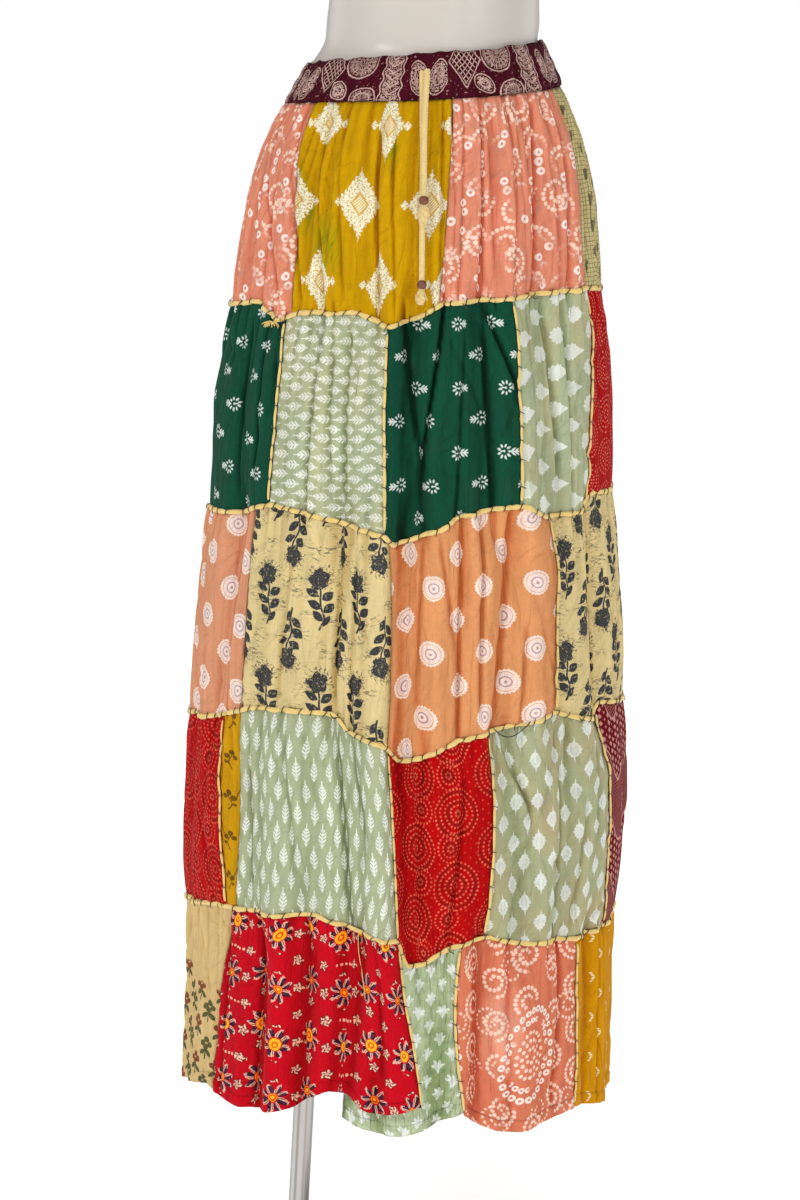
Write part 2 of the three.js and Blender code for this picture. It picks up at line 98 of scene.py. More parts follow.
# Seam lines and edges: (angle, height) all round.
LINES = {
    "band_top": [(-180, 1211), (-90, 1204), (-45, 1212), (0, 1219), (45, 1224), (90, 1226), (180, 1211)],
    "band_seam": [(-180, 1176), (-90, 1167.5), (-45, 1174), (0, 1178), (45, 1182), (90, 1185), (180, 1176)],
    "seam_1": [
        (-180, 986), (-90, 981), (-60, 992), (-48, 978), (-40, 987), (-20, 990), (-9, 979), (0, 986),
        (7, 999), (47, 1004), (63, 1004), (90, 995), (180, 986)],
    "seam_2": [
        (-180, 798), (-90, 789), (-60, 799), (-43, 815), (-30, 811), (-15, 800), (-7, 799), (-5, 787),
        (7, 799), (14, 812), (32, 818), (40, 804), (60, 803), (63, 816), (90, 806), (180, 798)],
    "seam_3": [
        (-180, 600), (-90, 590), (-65, 604), (-43, 628), (-30, 632), (-20, 630), (-16, 615), (-6, 610),
        (-3, 590), (4, 592), (13, 609), (42, 624), (49, 615), (60, 606), (63, 619), (90, 602), (180, 600)],
    "seam_4": [
        (-180, 402), (-90, 405), (-57, 430), (-44, 436), (-22, 444), (-11, 429), (-1, 424), (1, 397),
        (6, 399), (14, 416), (23, 421), (33, 410), (61, 398), (90, 394), (180, 402)],
    "hem": [
        (-180, 222), (-90, 221), (-60, 250), (-58, 245), (-46, 240), (-36, 246), (-29, 251), (-25, 262),
        (-20, 271), (-14, 271), (-11, 263), (-7, 256), (-3, 257), (6, 266), (8, 236), (17, 252), (21, 240),
        (27, 231), (34, 229), (41, 230), (54, 233), (75, 214), (90, 213), (180, 222)],
    "hem_under": [(-180, 243), (-16, 243), (-9, 237), (-2, 232), (8, 237), (17, 252), (180, 252)],
}

# The largest folds: top and bottom height, angle at each, half width in degrees, depth outwards.
FOLDS = [
    (1130, 985, -18, -12, 7, -6), (1130, 985, 43, 39, 8, -7), (1130, 985, -45, -34, 7, -4),
    (1130, 985, 24, 20, 6, -4), (1130, 985, -30, -24, 6, 4), (1130, 985, 31, 29, 6, 4),
    (1130, 985, 85, 80, 9, -5), (1130, 985, 60, 55, 7, 4), (1130, 985, -80, -72, 9, 4),
    (960, 800, -22, -20, 7, -7), (985, 800, -8, -8, 6, 6), (985, 800, -3, 2, 6, -8),
    (985, 800, 18, 22, 7, -8), (960, 800, 40, 45, 7, -7), (960, 800, -62, -58, 8, -6),
    (960, 800, 30, 34, 6, 5),
    (800, 620, -20, -20, 7, -9), (800, 600, -9, -7, 6, 7), (800, 600, -1, 0, 7, -12),
    (800, 620, 14, 13, 6, -6), (790, 600, 28, 24, 6, -7), (790, 600, 61, 61, 7, -9),
    (790, 600, -58, -60, 7, -6), (790, 600, 36, 34, 7, 5),
    (610, 430, -18, -13, 6, -7), (610, 420, -8, -5, 6, 9), (600, 400, 0, 3, 7, -14),
    (600, 400, 26, 33, 7, -8), (590, 400, 45, 46, 7, -6), (600, 420, -34, -33, 8, 6),
    (400, 260, -39, -41, 6, -7), (400, 250, -25, -27, 7, -10), (400, 260, -13, -16, 7, -16),
    (400, 250, -3, 2, 8, 11), (410, 230, 9, 12, 7, -12), (410, 225, 21, 21, 6, -10),
    (400, 225, 34, 34, 9, 7), (400, 225, 60, 62, 7, -8), (420, 240, -33, -34, 6, 8),
    (1130, 985, 112, 110, 11, -5), (1130, 985, 150, 146, 13, -6), (1130, 985, -150, -146, 13, -6),
    (1130, 985, -116, -114, 11, -5), (970, 600, 128, 126, 13, -9), (960, 600, 166, 168, 14, -10),
    (970, 600, -158, -162, 13, -8), (970, 600, -120, -124, 13, -9), (600, 225, 108, 110, 12, -10),
    (600, 225, 140, 142, 14, -12), (600, 225, 178, 180, 14, -12), (600, 225, -140, -144, 14, -11),
    (600, 225, -108, -110, 12, -9), (610, 225, -78, -80, 9, -6), (600, 225, 82, 84, 9, -7),
]

# Sharper creases inside them, in the same columns.
CREASES = [
    (1165, 1000, -75, -49, 2.2, -1.8), (1165, 1000, -56, -40, 2, -2), (1165, 1000, -42, -31, 1.8, -2.2),
    (1165, 1010, -32, -24, 1.6, -1.8), (1165, 1000, -18, -13, 1.6, -3), (1165, 1000, -12, -7.5, 1.4, -2),
    (1165, 1020, 6, 6, 1.4, -1.6), (1165, 1000, 21, 19, 1.6, -2.4), (1165, 1010, 33, 30, 1.6, -2),
    (1165, 1000, 45, 38, 1.8, -3.2), (1165, 1000, 58, 52, 1.8, -2), (1165, 1010, 14, 12, 1.4, -1.4),
    (960, 830, -62, -61, 1.8, -2.2), (980, 850, -52, -51, 1.6, -2.4), (980, 820, -30, -31, 1.6, -2.2),
    (985, 840, -27, -24, 1.5, -2), (960, 800, -21, -20, 1.8, -3.2), (985, 862, -5, 2.2, 1.5, -5.5),
    (995, 862, 7.5, 2.6, 1.4, -5.5), (860, 800, 2.4, 1, 1.6, -3), (985, 930, 22, 29, 1.8, -3.5),
    (985, 800, 20, 24, 2, -3.5), (985, 850, 42, 46, 1.6, -3), (960, 800, 50, 51, 1.6, -2.4),
    (960, 810, 14, 12, 1.5, -2),
    (790, 620, -56, -55, 1.5, -2.2), (800, 632, -20, -20, 1.5, -4.5), (760, 620, -15, -15, 1.5, -2),
    (800, 600, -0.5, 0, 2.2, -4), (780, 620, 3, 2, 1.5, -2.4), (800, 620, 14, 13, 1.5, -3.4),
    (800, 640, 20, 19, 1.6, -3), (800, 610, 28.5, 23, 1.7, -4.2), (790, 610, 60, 61, 1.6, -4),
    (780, 700, 8, 12, 1.5, -2), (760, 640, -34, -36, 1.6, -1.6), (700, 610, 32, 30, 1.5, -2),
    (610, 440, -19, -13.5, 1.5, -3.6), (600, 520, -14, -10, 1.5, -2), (600, 420, 1, 4, 2.2, -4),
    (610, 540, 24, 33, 1.5, -3.4), (560, 410, 43, 44, 1.6, -2.6), (560, 450, -44, -42, 1.6, -1.8),
    (560, 430, 14, 12, 1.6, -2), (520, 430, 52, 50, 1.6, -2), (590, 500, -32, -29, 1.6, -1.8),
    (415, 265, -39, -42, 1.6, -3), (430, 262, -25, -27, 1.6, -3.6), (425, 272, -12.5, -16, 1.7, -4),
    (420, 300, -6, -4, 1.5, -2.4), (405, 228, 20.5, 20.8, 2.2, -6.5), (400, 250, 28, 30, 1.6, -1.2),
    (395, 260, 47, 45, 1.8, -2.4), (395, 225, 66, 68, 1.8, -3), (400, 255, -52, -55, 1.6, -2.2),
    (1165, 1000, 100, 104, 2, -2), (1165, 1000, 126, 130, 2, -2), (1165, 1000, 160, 158, 2, -2.4),
    (1165, 1000, -130, -134, 2, -2), (1165, 1000, -168, -164, 2, -2.4), (980, 810, 122, 120, 2, -3),
    (980, 810, 148, 150, 2, -3), (980, 810, 172, 174, 2, -3), (980, 810, -140, -138, 2, -3),
    (790, 610, 106, 108, 2, -3.4), (790, 610, 136, 134, 2, -3), (790, 610, 160, 162, 2, -3.6),
    (790, 610, -166, -168, 2, -3), (790, 610, -128, -126, 2, -3.4), (600, 410, 124, 126, 2, -3.4),
    (600, 410, 152, 150, 2, -3), (600, 410, -172, -170, 2, -3.6), (600, 410, -126, -128, 2, -3),
    (400, 230, 132, 134, 2, -3.6), (400, 230, 164, 166, 2, -3), (400, 230, -158, -160, 2, -3.6),
    (400, 230, -118, -120, 2, -3.4),
]

# ---------------------------------------------------------------- the skirt's surface

ANGLE_STEP = 0.25
SMOOTH_HEIGHT = np.arange(180.0, 1260.0, 1.0)
SMOOTH_ANGLE = np.arange(-180.0, 180.0, ANGLE_STEP)
LATTICE_ROWS = 512


def blur(values, reach, mode):
    """values averaged with a raised cosine of that many samples on either side."""
    bell = np.hanning(2 * reach + 3)[1:-1]
    padded = np.pad(values, reach, mode=mode)
    return np.convolve(padded, bell / bell.sum(), "valid")


SECTION_CURVES = [
    blur(np.interp(SMOOTH_HEIGHT, SECTIONS[::-1, 0], SECTIONS[::-1, k]), 14, "edge") for k in (1, 2, 3)]
LINE_CURVES = {
    name: blur(np.interp(SMOOTH_ANGLE, *np.array(rows).T), 5, "wrap") for name, rows in LINES.items()}


def line_height(name, angle):
    """Height of a seam line at an angle, any number of turns round."""
    at = (np.asarray(angle) + 180) % 360 / ANGLE_STEP
    return np.interp(at, np.arange(len(SMOOTH_ANGLE) + 1), np.append(LINE_CURVES[name], LINE_CURVES[name][0]))


def noise(across, down, around, seed):
    """Smooth noise from -1 to 1: random values on a square lattice, eased between its corners. The
    lattice repeats after `around` steps across, so that the cloth closes at the back."""
    lattice = np.random.RandomState(seed).uniform(-1, 1, (around, LATTICE_ROWS))
    left, upper = np.floor(across).astype(int), np.floor(down).astype(int)
    s, t = across - left, down - upper
    s, t = s * s * (3 - 2 * s), t * t * (3 - 2 * t)
    corner = lambda i, k: lattice[(left + i) % around, (upper + k) % LATTICE_ROWS]
    edge = lambda k: corner(0, k) * (1 - s) + corner(1, k) * s
    return edge(0) * (1 - t) + edge(1) * t


def turned_away(angle, middle):
    """Degrees from one angle to another, the short way round."""
    return (angle - middle + 180) % 360 - 180


def fading(height, top, bottom, length):
    """1 between two heights, and a straight fade to 0 over a length past each."""
    from_top, from_bottom = (top + length - height) / length, (height - bottom + length) / length
    return np.clip(from_top, 0, 1) * np.clip(from_bottom, 0, 1)


def folds(angle, height, rows, fade_length, power):
    """Sum of the folds' depths: each is its depth times a bell across it, (half a cosine) to a power,
    times a straight fade past its top and bottom."""
    total = np.zeros_like(angle)
    for top, bottom, top_angle, bottom_angle, half_width, depth in rows:
        down = np.clip((top - height) / (top - bottom), 0, 1)
        away = np.abs(turned_away(angle, top_angle + (bottom_angle - top_angle) * down)) / half_width
        bell = ((1 + np.cos(np.pi * np.clip(away, 0, 1))) / 2) ** power
        total += depth * fading(height, top, bottom, fade_length) * bell
    return total


def relief(angle, height, below, above):
    """How far the cloth stands out of its section: folds and creases, then gathers, which are narrow
    pleats that hang from the seam above and fade with the distance below it, sharp valleys where one
    pleat meets the next, long soft wrinkles, slanting crumples that are sharp along their valleys,
    and the pull of the seams, a shallow valley along each."""
    turn = angle / 360
    depth = folds(angle, height, FOLDS, FADE, 1)
    depth += CREASE_DEEPER * folds(angle, height, CREASES, CREASE_FADE, CREASE_POWER)
    drift = 0.35 * noise(turn * 40, height / 90, 40, 11)
    pleats = noise(turn * 118 + drift, height / 260, 118, 21)
    narrow = noise(turn * 210 + drift, height / 160, 210, 22)
    first = np.clip((height - FIRST_TIER) / 60, 0, 1)
    hang = np.exp(-below / 60)
    gather = 0.22 + 0.55 * first + (0.9 - 0.3 * first) * hang
    valley = np.clip(1 - np.abs(pleats) / 0.26, 0, 1) ** 1.5
    depth += gather * (1.9 * pleats + 0.9 * narrow - 2.6 * valley) + 0.8 * first
    depth += (0.15 + 0.6 * np.exp(-above / 25)) * narrow
    slants = [noise(turn * 30 + height / run, height / 75, 30, seed) for run, seed in ((130, 51), (-150, 52))]
    crumple = sum(np.clip(np.abs(slant) * 4.6, 0, 1) ** 0.6 for slant in slants)
    depth += (1 - 0.6 * first) * 1.8 * (crumple - 1.55)
    depth += 1.5 * noise(turn * 54, height / 85, 54, 31) + 0.45 * noise(turn * 130, height / 24, 130, 32)
    depth -= 1.6 * np.exp(-below / 6) + 1.6 * np.exp(-above / 6)
    floor = -1.9 - 0.3 * np.clip(FORM_HIDES - height, 0, 30)  # here the cloth lies on the form
    return floor + 0.5 * np.logaddexp(0, (depth - floor) / 0.5)


def swallowed(angle, height):
    """Millimetres of cloth that the creases take in over a patch's grid: a steep smooth step across
    the middle of each, TAKEN times its depth, that fades past its top and bottom."""
    total = np.zeros_like(angle)
    for top, bottom, top_angle, bottom_angle, _, depth in CREASES:
        if abs(turned_away(top_angle, angle.mean())) > TAKEN_REACH:
            continue
        down = np.clip((top - height) / (top - bottom), 0, 1)
        away = turned_away(angle, top_angle + (bottom_angle - top_angle) * down)
        total -= TAKEN * depth * fading(height, top, bottom, TAKEN_FADE) / (1 + np.exp(-away * 7))
    return total


def hollows(depth, reach):
    """How far each point of a grid lies above or below the mean of its row's neighbours."""
    padded = np.cumsum(np.pad(depth, ((0, 0), (reach + 1, reach)), mode="edge"), axis=1)
    return depth - (padded[:, 2 * reach + 1:] - padded[:, :-2 * reach - 1]) / (2 * reach + 1)


def place(angle, height, out):
    """Points of the section at those angles and heights, moved out: an ellipse whose half axes grow
    by the distance."""
    centre, half_width, half_depth = (np.interp(height, SMOOTH_HEIGHT, curve) for curve in SECTION_CURVES)
    turn = np.radians(angle)
    return np.stack([
        centre + (half_width + out) * np.sin(turn), -(half_depth + out) * np.cos(turn),
        np.broadcast_to(height, np.shape(turn))], axis=-1)


# ---------------------------------------------------------------- meshes

def make_mesh(name, points, faces, material):
    """A piece from points in millimetres and an array of faces, each with the same number of corners."""
    mesh = bpy.data.meshes.new(name)
    points = np.ascontiguousarray(points, dtype=np.float32).reshape(-1, 3) * np.float32(MM)
    faces = np.ascontiguousarray(faces, dtype=np.int32)
    mesh.vertices.add(len(points))
    mesh.vertices.foreach_set("co", points.ravel())
    mesh.loops.add(faces.size)
    mesh.loops.foreach_set("vertex_index", faces.ravel())
    mesh.polygons.add(len(faces))
    mesh.polygons.foreach_set("loop_start", np.arange(len(faces), dtype=np.int32) * faces.shape[1])
    mesh.polygons.foreach_set("use_smooth", np.full(len(faces), True))
    mesh.update(calc_edges=True)
    mesh.validate()
    mesh.materials.append(material)
    piece = bpy.data.objects.new(name, mesh)
    bpy.context.scene.collection.objects.link(piece)
    return piece


def grid_faces(rows, columns, closed=False):
    """Corners of the quads of a grid of points, wound so that rows that run down and columns that run
    anticlockwise, seen from above, face outwards. A closed grid's last column joins its first."""
    spans = columns if closed else columns - 1
    row, column = np.meshgrid(np.arange(rows - 1), np.arange(spans), indexing="ij")
    following = (column + 1) % columns
    quads = [row * columns + column, (row + 1) * columns + column,
             (row + 1) * columns + following, row * columns + following]
    return np.stack(quads, axis=-1).reshape(-1, 4)


def make_tube(name, rings, material, inward=False):
    """A piece of a stack of rings of points, each closed on itself."""
    faces = grid_faces(*rings.shape[:2], closed=True)
    return make_mesh(name, rings, faces[:, ::-1] if inward else faces, material)


def add_map(piece, faces, across_down):
    """The piece's own map, in metres of cloth, from each point's place across and down."""
    corners = (across_down.reshape(-1, 2) * MM)[faces.ravel()]
    piece.data.uv_layers.new(name="cloth").data.foreach_set("uv", corners.astype(np.float32).ravel())


def add_number(piece, name, values):
    """A number for each point, which the piece's finish reads by name."""
    attribute = piece.data.attributes.new(name, "FLOAT", "POINT")
    attribute.data.foreach_set("value", values.astype(np.float32).ravel())


def give_wall(piece, thickness):
    """Gives a sheet its thickness, towards the inside."""
    wall = piece.modifiers.new("wall", "SOLIDIFY")
    wall.thickness = thickness * MM
    wall.offset = -1
    wall.use_rim = True


def unit(vectors):
    """Vectors along the last axis, each brought to length 1."""
    return vectors / np.linalg.norm(vectors, axis=-1, keepdims=True)


def lengths_along(path):
    """Distance of each point of a path from its start."""
    return np.r_[0, np.cumsum(np.linalg.norm(np.diff(path, axis=0), axis=1))]


def sweep(path, outward, half_width, half_thickness, sides=8):
    """Rings of points round a path: an oval section whose wide axis lies across the path and whose
    thin axis is the outward direction."""
    sideways = unit(np.cross(outward, unit(np.gradient(path, axis=0))))
    turn = np.arange(sides) * TAU / sides
    return (path[:, None] + sideways[:, None] * (np.cos(turn)[None] * half_width[:, None])[..., None]
            + outward[:, None] * (np.sin(turn)[None] * half_thickness[:, None])[..., None])


def thread_tubes(centre, side, other, radius):
    """Rings of five points round many paths at once, between two directions across each path. The
    radius runs along a path."""
    turn = (np.arange(5) * TAU / 5)[:, None]
    section = side[:, :, None] * np.cos(turn) + other[:, :, None] * np.sin(turn)
    return centre[:, :, None] + section * radius[:, None, None]


def level_rings(heights, half_width, half_depth, columns, middle=0.0):
    """Level rings of points. The values for the rings are columns of an array, or one for all."""
    turn = np.arange(columns) * TAU / columns
    x, y = middle + half_width * np.sin(turn), -half_depth * np.cos(turn)
    return np.stack(np.broadcast_arrays(x, y, heights), axis=-1)


def capped(rings, share):
    """The same rings, with a small one in the middle of each end, so that both ends are closed."""
    ends = rings[[0, -1]]
    small = ends.mean(axis=1, keepdims=True) * (1 - share) + ends * share
    return np.concatenate([small[:1], rings, small[1:]])


def join_tubes(name, tubes, material):
    """One piece of many small tubes with the same numbers of rings and sides."""
    count, rows, columns = tubes.shape[:3]
    offset = (np.arange(count) * rows * columns)[:, None, None]
    faces = grid_faces(rows, columns, closed=True)[None] + offset
    return make_mesh(name, tubes.reshape(-1, 3), faces.reshape(-1, 4), material)


def settle(piece, slot, *nodes):
    """The piece rides on the root body and stands for CAD nodes, if any. The slot is not used."""
    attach(piece, ROOT)
    if nodes:
        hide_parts(*nodes)
    return piece


def smoothed(points, count):
    """Points spaced evenly on a curve through a route's own points, and its length. Between two of
    them it is the cubic that has their slopes, taken over the distance between them."""
    points = np.array(points, float)
    chord = lengths_along(points)
    slope = np.gradient(points, chord, axis=0)
    at = np.linspace(0, chord[-1], count * 4)
    k = np.clip(np.searchsorted(chord, at, "right") - 1, 0, len(chord) - 2)
    span = (chord[k + 1] - chord[k])[:, None]
    t = (at - chord[k])[:, None] / span
    curve = ((2 * t**3 - 3 * t**2 + 1) * points[k] + (t**3 - 2 * t**2 + t) * span * slope[k]
             + (3 * t**2 - 2 * t**3) * points[k + 1] + (t**3 - t**2) * span * slope[k + 1])
    length = lengths_along(curve)
    even = np.linspace(0, length[-1], count)
    return np.stack([np.interp(even, length, curve[:, axis]) for axis in range(3)], axis=1), length[-1]


# ---------------------------------------------------------------- materials

def paint(red, green, blue):
    """Linear colour of sRGB values from 0 to 255: a power, and a straight line near black."""
    linear = lambda c: ((c / 255 + 0.055) / 1.055) ** 2.4 if c > 10 else c / (255 * 12.92)
    return linear(red), linear(green), linear(blue), 1.0


def operator(operation):
    """A method of Value for an operator, and its reflected form: both add one Math node."""
    return (lambda self, other: self.finish.math(operation, self, other),
            lambda self, other: self.finish.math(operation, other, self))


class Value:
    """A number at every point of a surface. Arithmetic on it adds Math nodes to its finish."""
    __add__, __radd__ = operator("ADD")
    __sub__, __rsub__ = operator("SUBTRACT")
    __mul__, __rmul__ = operator("MULTIPLY")
    __mod__, _ = operator("FLOORED_MODULO")

    def __init__(self, finish, socket):
        self.finish, self.socket = finish, socket

    def __truediv__(self, other):
        if isinstance(other, (int, float)):
            return self * (1 / other)
        return self.finish.math("DIVIDE", self, other)

    def __neg__(self):
        return self * -1

    def __abs__(self):
        return self.finish.math("ABSOLUTE", self)


def function(operation):
    """A method of Finish that works a value out with one Math node."""
    return lambda self, value: self.math(operation, value)


class Finish:
    """One material, with the maths that prints are drawn with. Lengths are millimetres."""
    root, sine, fract, floor = map(function, ("SQRT", "SINE", "FRACT", "FLOOR"))

    def __init__(self, name):
        self.material = bpy.data.materials.new(name)
        self.material.use_nodes = True
        self.tree = self.material.node_tree
        self.tree.nodes.clear()

    def node(self, kind, settings=None, inputs=None):
        """Adds a node of a type, with its settings and then its sockets' values or links."""
        node = self.tree.nodes.new(kind)
        for key, value in (settings or {}).items():
            setattr(node, key, value)
        for key, value in (inputs or {}).items():
            socket = node.inputs[key]
            value = value.socket if isinstance(value, Value) else value
            if isinstance(value, bpy.types.NodeSocket):
                self.tree.links.new(value, socket)
            else:
                socket.default_value = value
        return node

    def math(self, operation, *values, clamp=False):
        settings = {"operation": operation, "use_clamp": clamp}
        return Value(self, self.node("ShaderNodeMath", settings, dict(enumerate(values))).outputs[0])

    def most(self, *values):
        """The largest of some values, so several shapes at once."""
        total = values[0]
        for value in values[1:]:
            total = self.math("MAXIMUM", total, value)
        return total

    def inside(self, distance, soft=0.5):
        """1 where a distance is negative and 0 where it is positive, over a soft edge."""
        return self.math("MULTIPLY_ADD", distance, -1 / soft, 0.5, clamp=True)

    def line(self, value, half_width, soft=0.5):
        """1 where a value is that near 0, so a line or band of that half width."""
        return self.inside(abs(value) - half_width, soft)

    def stripe(self, value, pitch):
        """Distance from the middle of the nearest of stripes that are a pitch apart."""
        return abs(self.fract(value / pitch) - 0.5) * pitch

    def polar(self, x, y):
        """Distance from the middle, and the turn round it from -pi to pi."""
        return self.root(x * x + y * y), self.math("ARCTAN2", y, x)

    def millimetres(self, source):
        """The three parts, in millimetres, of a socket that gives a place in metres."""
        split = self.node("ShaderNodeSeparateXYZ", None, {0: source})
        return [Value(self, output) * 1000 for output in split.outputs]

    def cloth(self):
        """Millimetres across and down the piece's own map."""
        return self.millimetres(self.node("ShaderNodeUVMap", {"uv_map": "cloth"}).outputs[0])[:2]

    def spot(self):
        """Millimetres along X, Y and Z."""
        return self.millimetres(self.node("ShaderNodeTexCoord").outputs["Object"])

    def number(self, name):
        """A number kept at each point of the piece's mesh."""
        return Value(self, self.node("ShaderNodeAttribute", {"attribute_name": name}).outputs["Fac"])

    def vector(self, x, y, z=0.0):
        return self.node("ShaderNodeCombineXYZ", None, {0: x, 1: y, 2: z}).outputs[0]

    def noise(self, x, y, across, down, seed=0.0, detail=0.0):
        """Noise around 0, from about -0.5 to 0.5, whose blots have a size across and down."""
        at = self.vector(x / across, y / down, seed)
        inputs = {"Vector": at, "Scale": 1.0, "Detail": detail}
        texture = self.node("ShaderNodeTexNoise", {"noise_dimensions": "3D"}, inputs)
        return Value(self, texture.outputs[0]) - 0.5

    def blend(self, factor, below, above):
        """One colour over another, by a factor from 0 to 1."""
        mixed = self.node("ShaderNodeMix", {"data_type": "RGBA"}, {0: factor, 6: below, 7: above})
        return mixed.outputs[2]

    def shade(self, colour, factor):
        """A colour made lighter or darker."""
        colour = colour[:3] if isinstance(colour, tuple) else colour
        scaled = self.node("ShaderNodeVectorMath", {"operation": "SCALE"}, {0: colour, 3: factor})
        return scaled.outputs[0]

    def repeat(self, u, v, column, pitch, drop=0.5):
        """Local x and y in a half-drop repeat, from the middle of each cell, and the column's parity."""
        index = self.floor(u / column)
        parity = index % 2
        x = u - (index + 0.5) * column
        shifted = v + parity * (drop * pitch)
        y = shifted - (self.floor(shifted / pitch) + 0.5) * pitch
        return x, y, parity

    def turned(self, x, y, degrees):
        """The same place in axes turned anticlockwise."""
        c, s = math.cos(math.radians(degrees)), math.sin(math.radians(degrees))
        return x * c + y * s, y * c - x * s

    def disc(self, x, y, radius, soft=0.5):
        """A round dot."""
        return self.inside(self.root(x * x + y * y) - radius, soft)

    def kite(self, x, y, a, b):
        """A diamond of half width a and half height b."""
        return self.inside((abs(x) / a + abs(y) / b - 1) * (min(a, b) * 0.8))

    def leaf(self, x, y, a, b):
        """A leaf of half width a and half length b, whose sides are parabolas."""
        return self.inside(abs(x) - a + y * y * (a / b**2))

    def fern(self, x, y, a, b, barb=3.5):
        """An upright leaf of slanting barbs on both sides of its spine, point up."""
        side = abs(x)
        slant = self.stripe(y + side * 0.9, barb) - barb * 0.33
        outline = side - a + y * y * (a / b**2)
        barbs = self.inside(self.most(outline, slant))
        return self.most(barbs, self.inside(side - 0.6) * self.line(y, b))

    def chain(self, radius, turn, ring, count, size):
        """Dots set round a ring of that radius."""
        arc = (self.fract(turn * (count / TAU)) - 0.5) * (TAU * ring / count)
        return self.disc(arc, radius - ring, size, 0.45)

    def finish(self, colour, roughness, height, sheen=0.0, coat=0.0, metallic=0.0, specular=0.5,
               coat_roughness=0.1):
        """The surface: a Principled shader, whose height in millimetres goes through a Bump."""
        bump = self.node("ShaderNodeBump", None, {"Height": height, "Distance": MM, "Strength": 1.0})
        settings = {"Base Color": colour, "Roughness": roughness, "Metallic": metallic,
                    "Specular IOR Level": specular, "Sheen Weight": sheen, "Sheen Roughness": 0.5,
                    "Coat Weight": coat, "Coat Roughness": coat_roughness, "Normal": bump.outputs[0]}
        shader = self.node("ShaderNodeBsdfPrincipled", None, settings)
        self.node("ShaderNodeOutputMaterial", None, {0: shader.outputs[0]})
        return self.material


def cotton(name, draw, crinkle=0.35, wash=0.10, unevenness=1.0):
    """Printed cotton. draw(finish, across, down) gives the dyed and printed colour. Over it come a
    worn, uneven dye, slubs along both threads, painted shade in the relief's hollows, darker and deeper
    in colour (the colour times itself, standing for light bounced inside a fold), painted light on its
    ridges, a painted shade along the seams, thin crease lines that are grooves in the bump and painted
    shade in the colour, and a bump of weave, slubs and upright crinkles."""
    finish = Finish(name)
    u, v = finish.cloth()
    shake = finish.noise(u, v, 13, 13, 3.0)
    sway = finish.noise(u, v, 13, 13, 7.0)
    colour = draw(finish, u + shake * (2.0 * unevenness), v + sway * (2.0 * unevenness))
    warp = finish.noise(u, v, 0.55, 14, 11.0)
    weft = finish.noise(u, v, 14, 0.55, 13.0)
    dye = finish.noise(u, v, 45, 70, 17.0, 2.0)
    fine = finish.noise(u, v, 2.2, 3.2, 19.0, 2.0)
    # Thin crease lines: grooves in the bump, and a painted shade that darkens them in the colour.
    upright_line = finish.math("EXPONENT", abs(finish.noise(u, v, 13, 85, 29.0, 1.0)) * -26)
    slanted = finish.noise(u + v * 0.8, v - u * 0.3, 16, 26, 31.0, 1.0)
    slanting_line = finish.math("EXPONENT", abs(slanted) * -26)
    creased = finish.math("MULTIPLY_ADD", finish.noise(u, v, 35, 45, 37.0), 3.0, 0.5, clamp=True)
    lines = upright_line * creased + slanting_line * (1 - creased) * 0.8
    # Painted shade along the seams: darker within a few millimetres of a patch's edge.
    rim = finish.math("EXPONENT", finish.number("edge") * -0.4)
    stitch = finish.line(finish.fract(u * 0.36) - 0.5, 0.34, 0.1)
    hem_line = finish.line(finish.number("hem") - HEM_DEPTH, 0.5, 0.8) * stitch
    # Painted shade in the relief's hollows and painted light on its ridges: the hollows darker and more
    # saturated, the colour times itself standing for light bounced inside a fold.
    painted_relief_shade = finish.number("painted_relief_shade")
    deep = finish.math("MULTIPLY", painted_relief_shade, -0.22, clamp=True)
    painted_shade_colour = finish.node("ShaderNodeVectorMath", {"operation": "MULTIPLY"}, {0: colour, 1: colour}).outputs[0]
    colour = finish.blend(deep, colour, finish.shade(painted_shade_colour, 1.5))
    # The tone: uneven dye and weave, with painted shade from the hollows, seams and crease lines, and painted
    # light on the ridges.
    tone = (1 - hem_line * 0.3 + dye * (2 * wash) + warp * 0.16 + weft * 0.12 + fine * 0.14 - rim * 0.2
            + painted_relief_shade * 0.08 - lines * 0.12)
    upright = finish.noise(u, v, 4.5, 30, 23.0, 2.0)
    height = (hem_line * -0.5 - lines * 0.7 + warp * 0.12 + weft * 0.12 + fine * 0.4
              + upright * (4.2 * crinkle) + shake * 0.5)
    return finish.finish(finish.shade(colour, tone), 0.9, height, sheen=0.015, specular=0.08)


SALMON, PALE_DOT = paint(224, 139, 110), paint(255, 226, 206)
MUSTARD, DARK_GREEN, SAGE = paint(200, 152, 2), paint(17, 74, 54), paint(171, 180, 144)
CREAM, INK, MAUVE = paint(219, 198, 142), paint(44, 50, 60), paint(176, 130, 146)


def curls(f, u, v, column=36, pitch=44, size=1.9, gap=6.8):
    """Dots along a spiral of almost two turns in each cell, mirrored in every other column. After t
    turns its radius is t gaps, so the way along it is pi t**2 gaps, and a dot comes every 4.5."""
    x, y, parity = f.repeat(u, v, column, pitch)
    radius, turn = f.polar(x * (1 - 2 * parity), y)
    share = turn / TAU
    turns = f.floor(radius / gap - share + 0.5) + share
    step = 4.5
    arc = (f.fract(turns * turns * (math.pi * gap / step)) - 0.5) * step
    off = radius - turns * gap
    return f.inside(f.root(arc * arc + off * off) - size, 0.8) * f.line(turns - 1.4, 0.85, 0.05)


def ring_chains(f, u, v, pitch=42, size=4.1, step=8.6):
    """Pairs of larger dots, with a hole in each, along waves that run down the cloth. The wave moves
    whole rows aside, so that the dots stay round."""
    row = f.floor(v / step)
    level = (row + 0.5) * step
    x = (u + 13 * f.sine(level * (TAU / 88)) + 5 * f.sine(level * (TAU / 37)) + pitch / 2) % pitch - pitch / 2
    x = x - 3.7 + (row % 2) * 7.4
    y = v - level
    return f.inside(abs(f.root(x * x + y * y) - size * 0.64) - size * 0.3, 0.6)


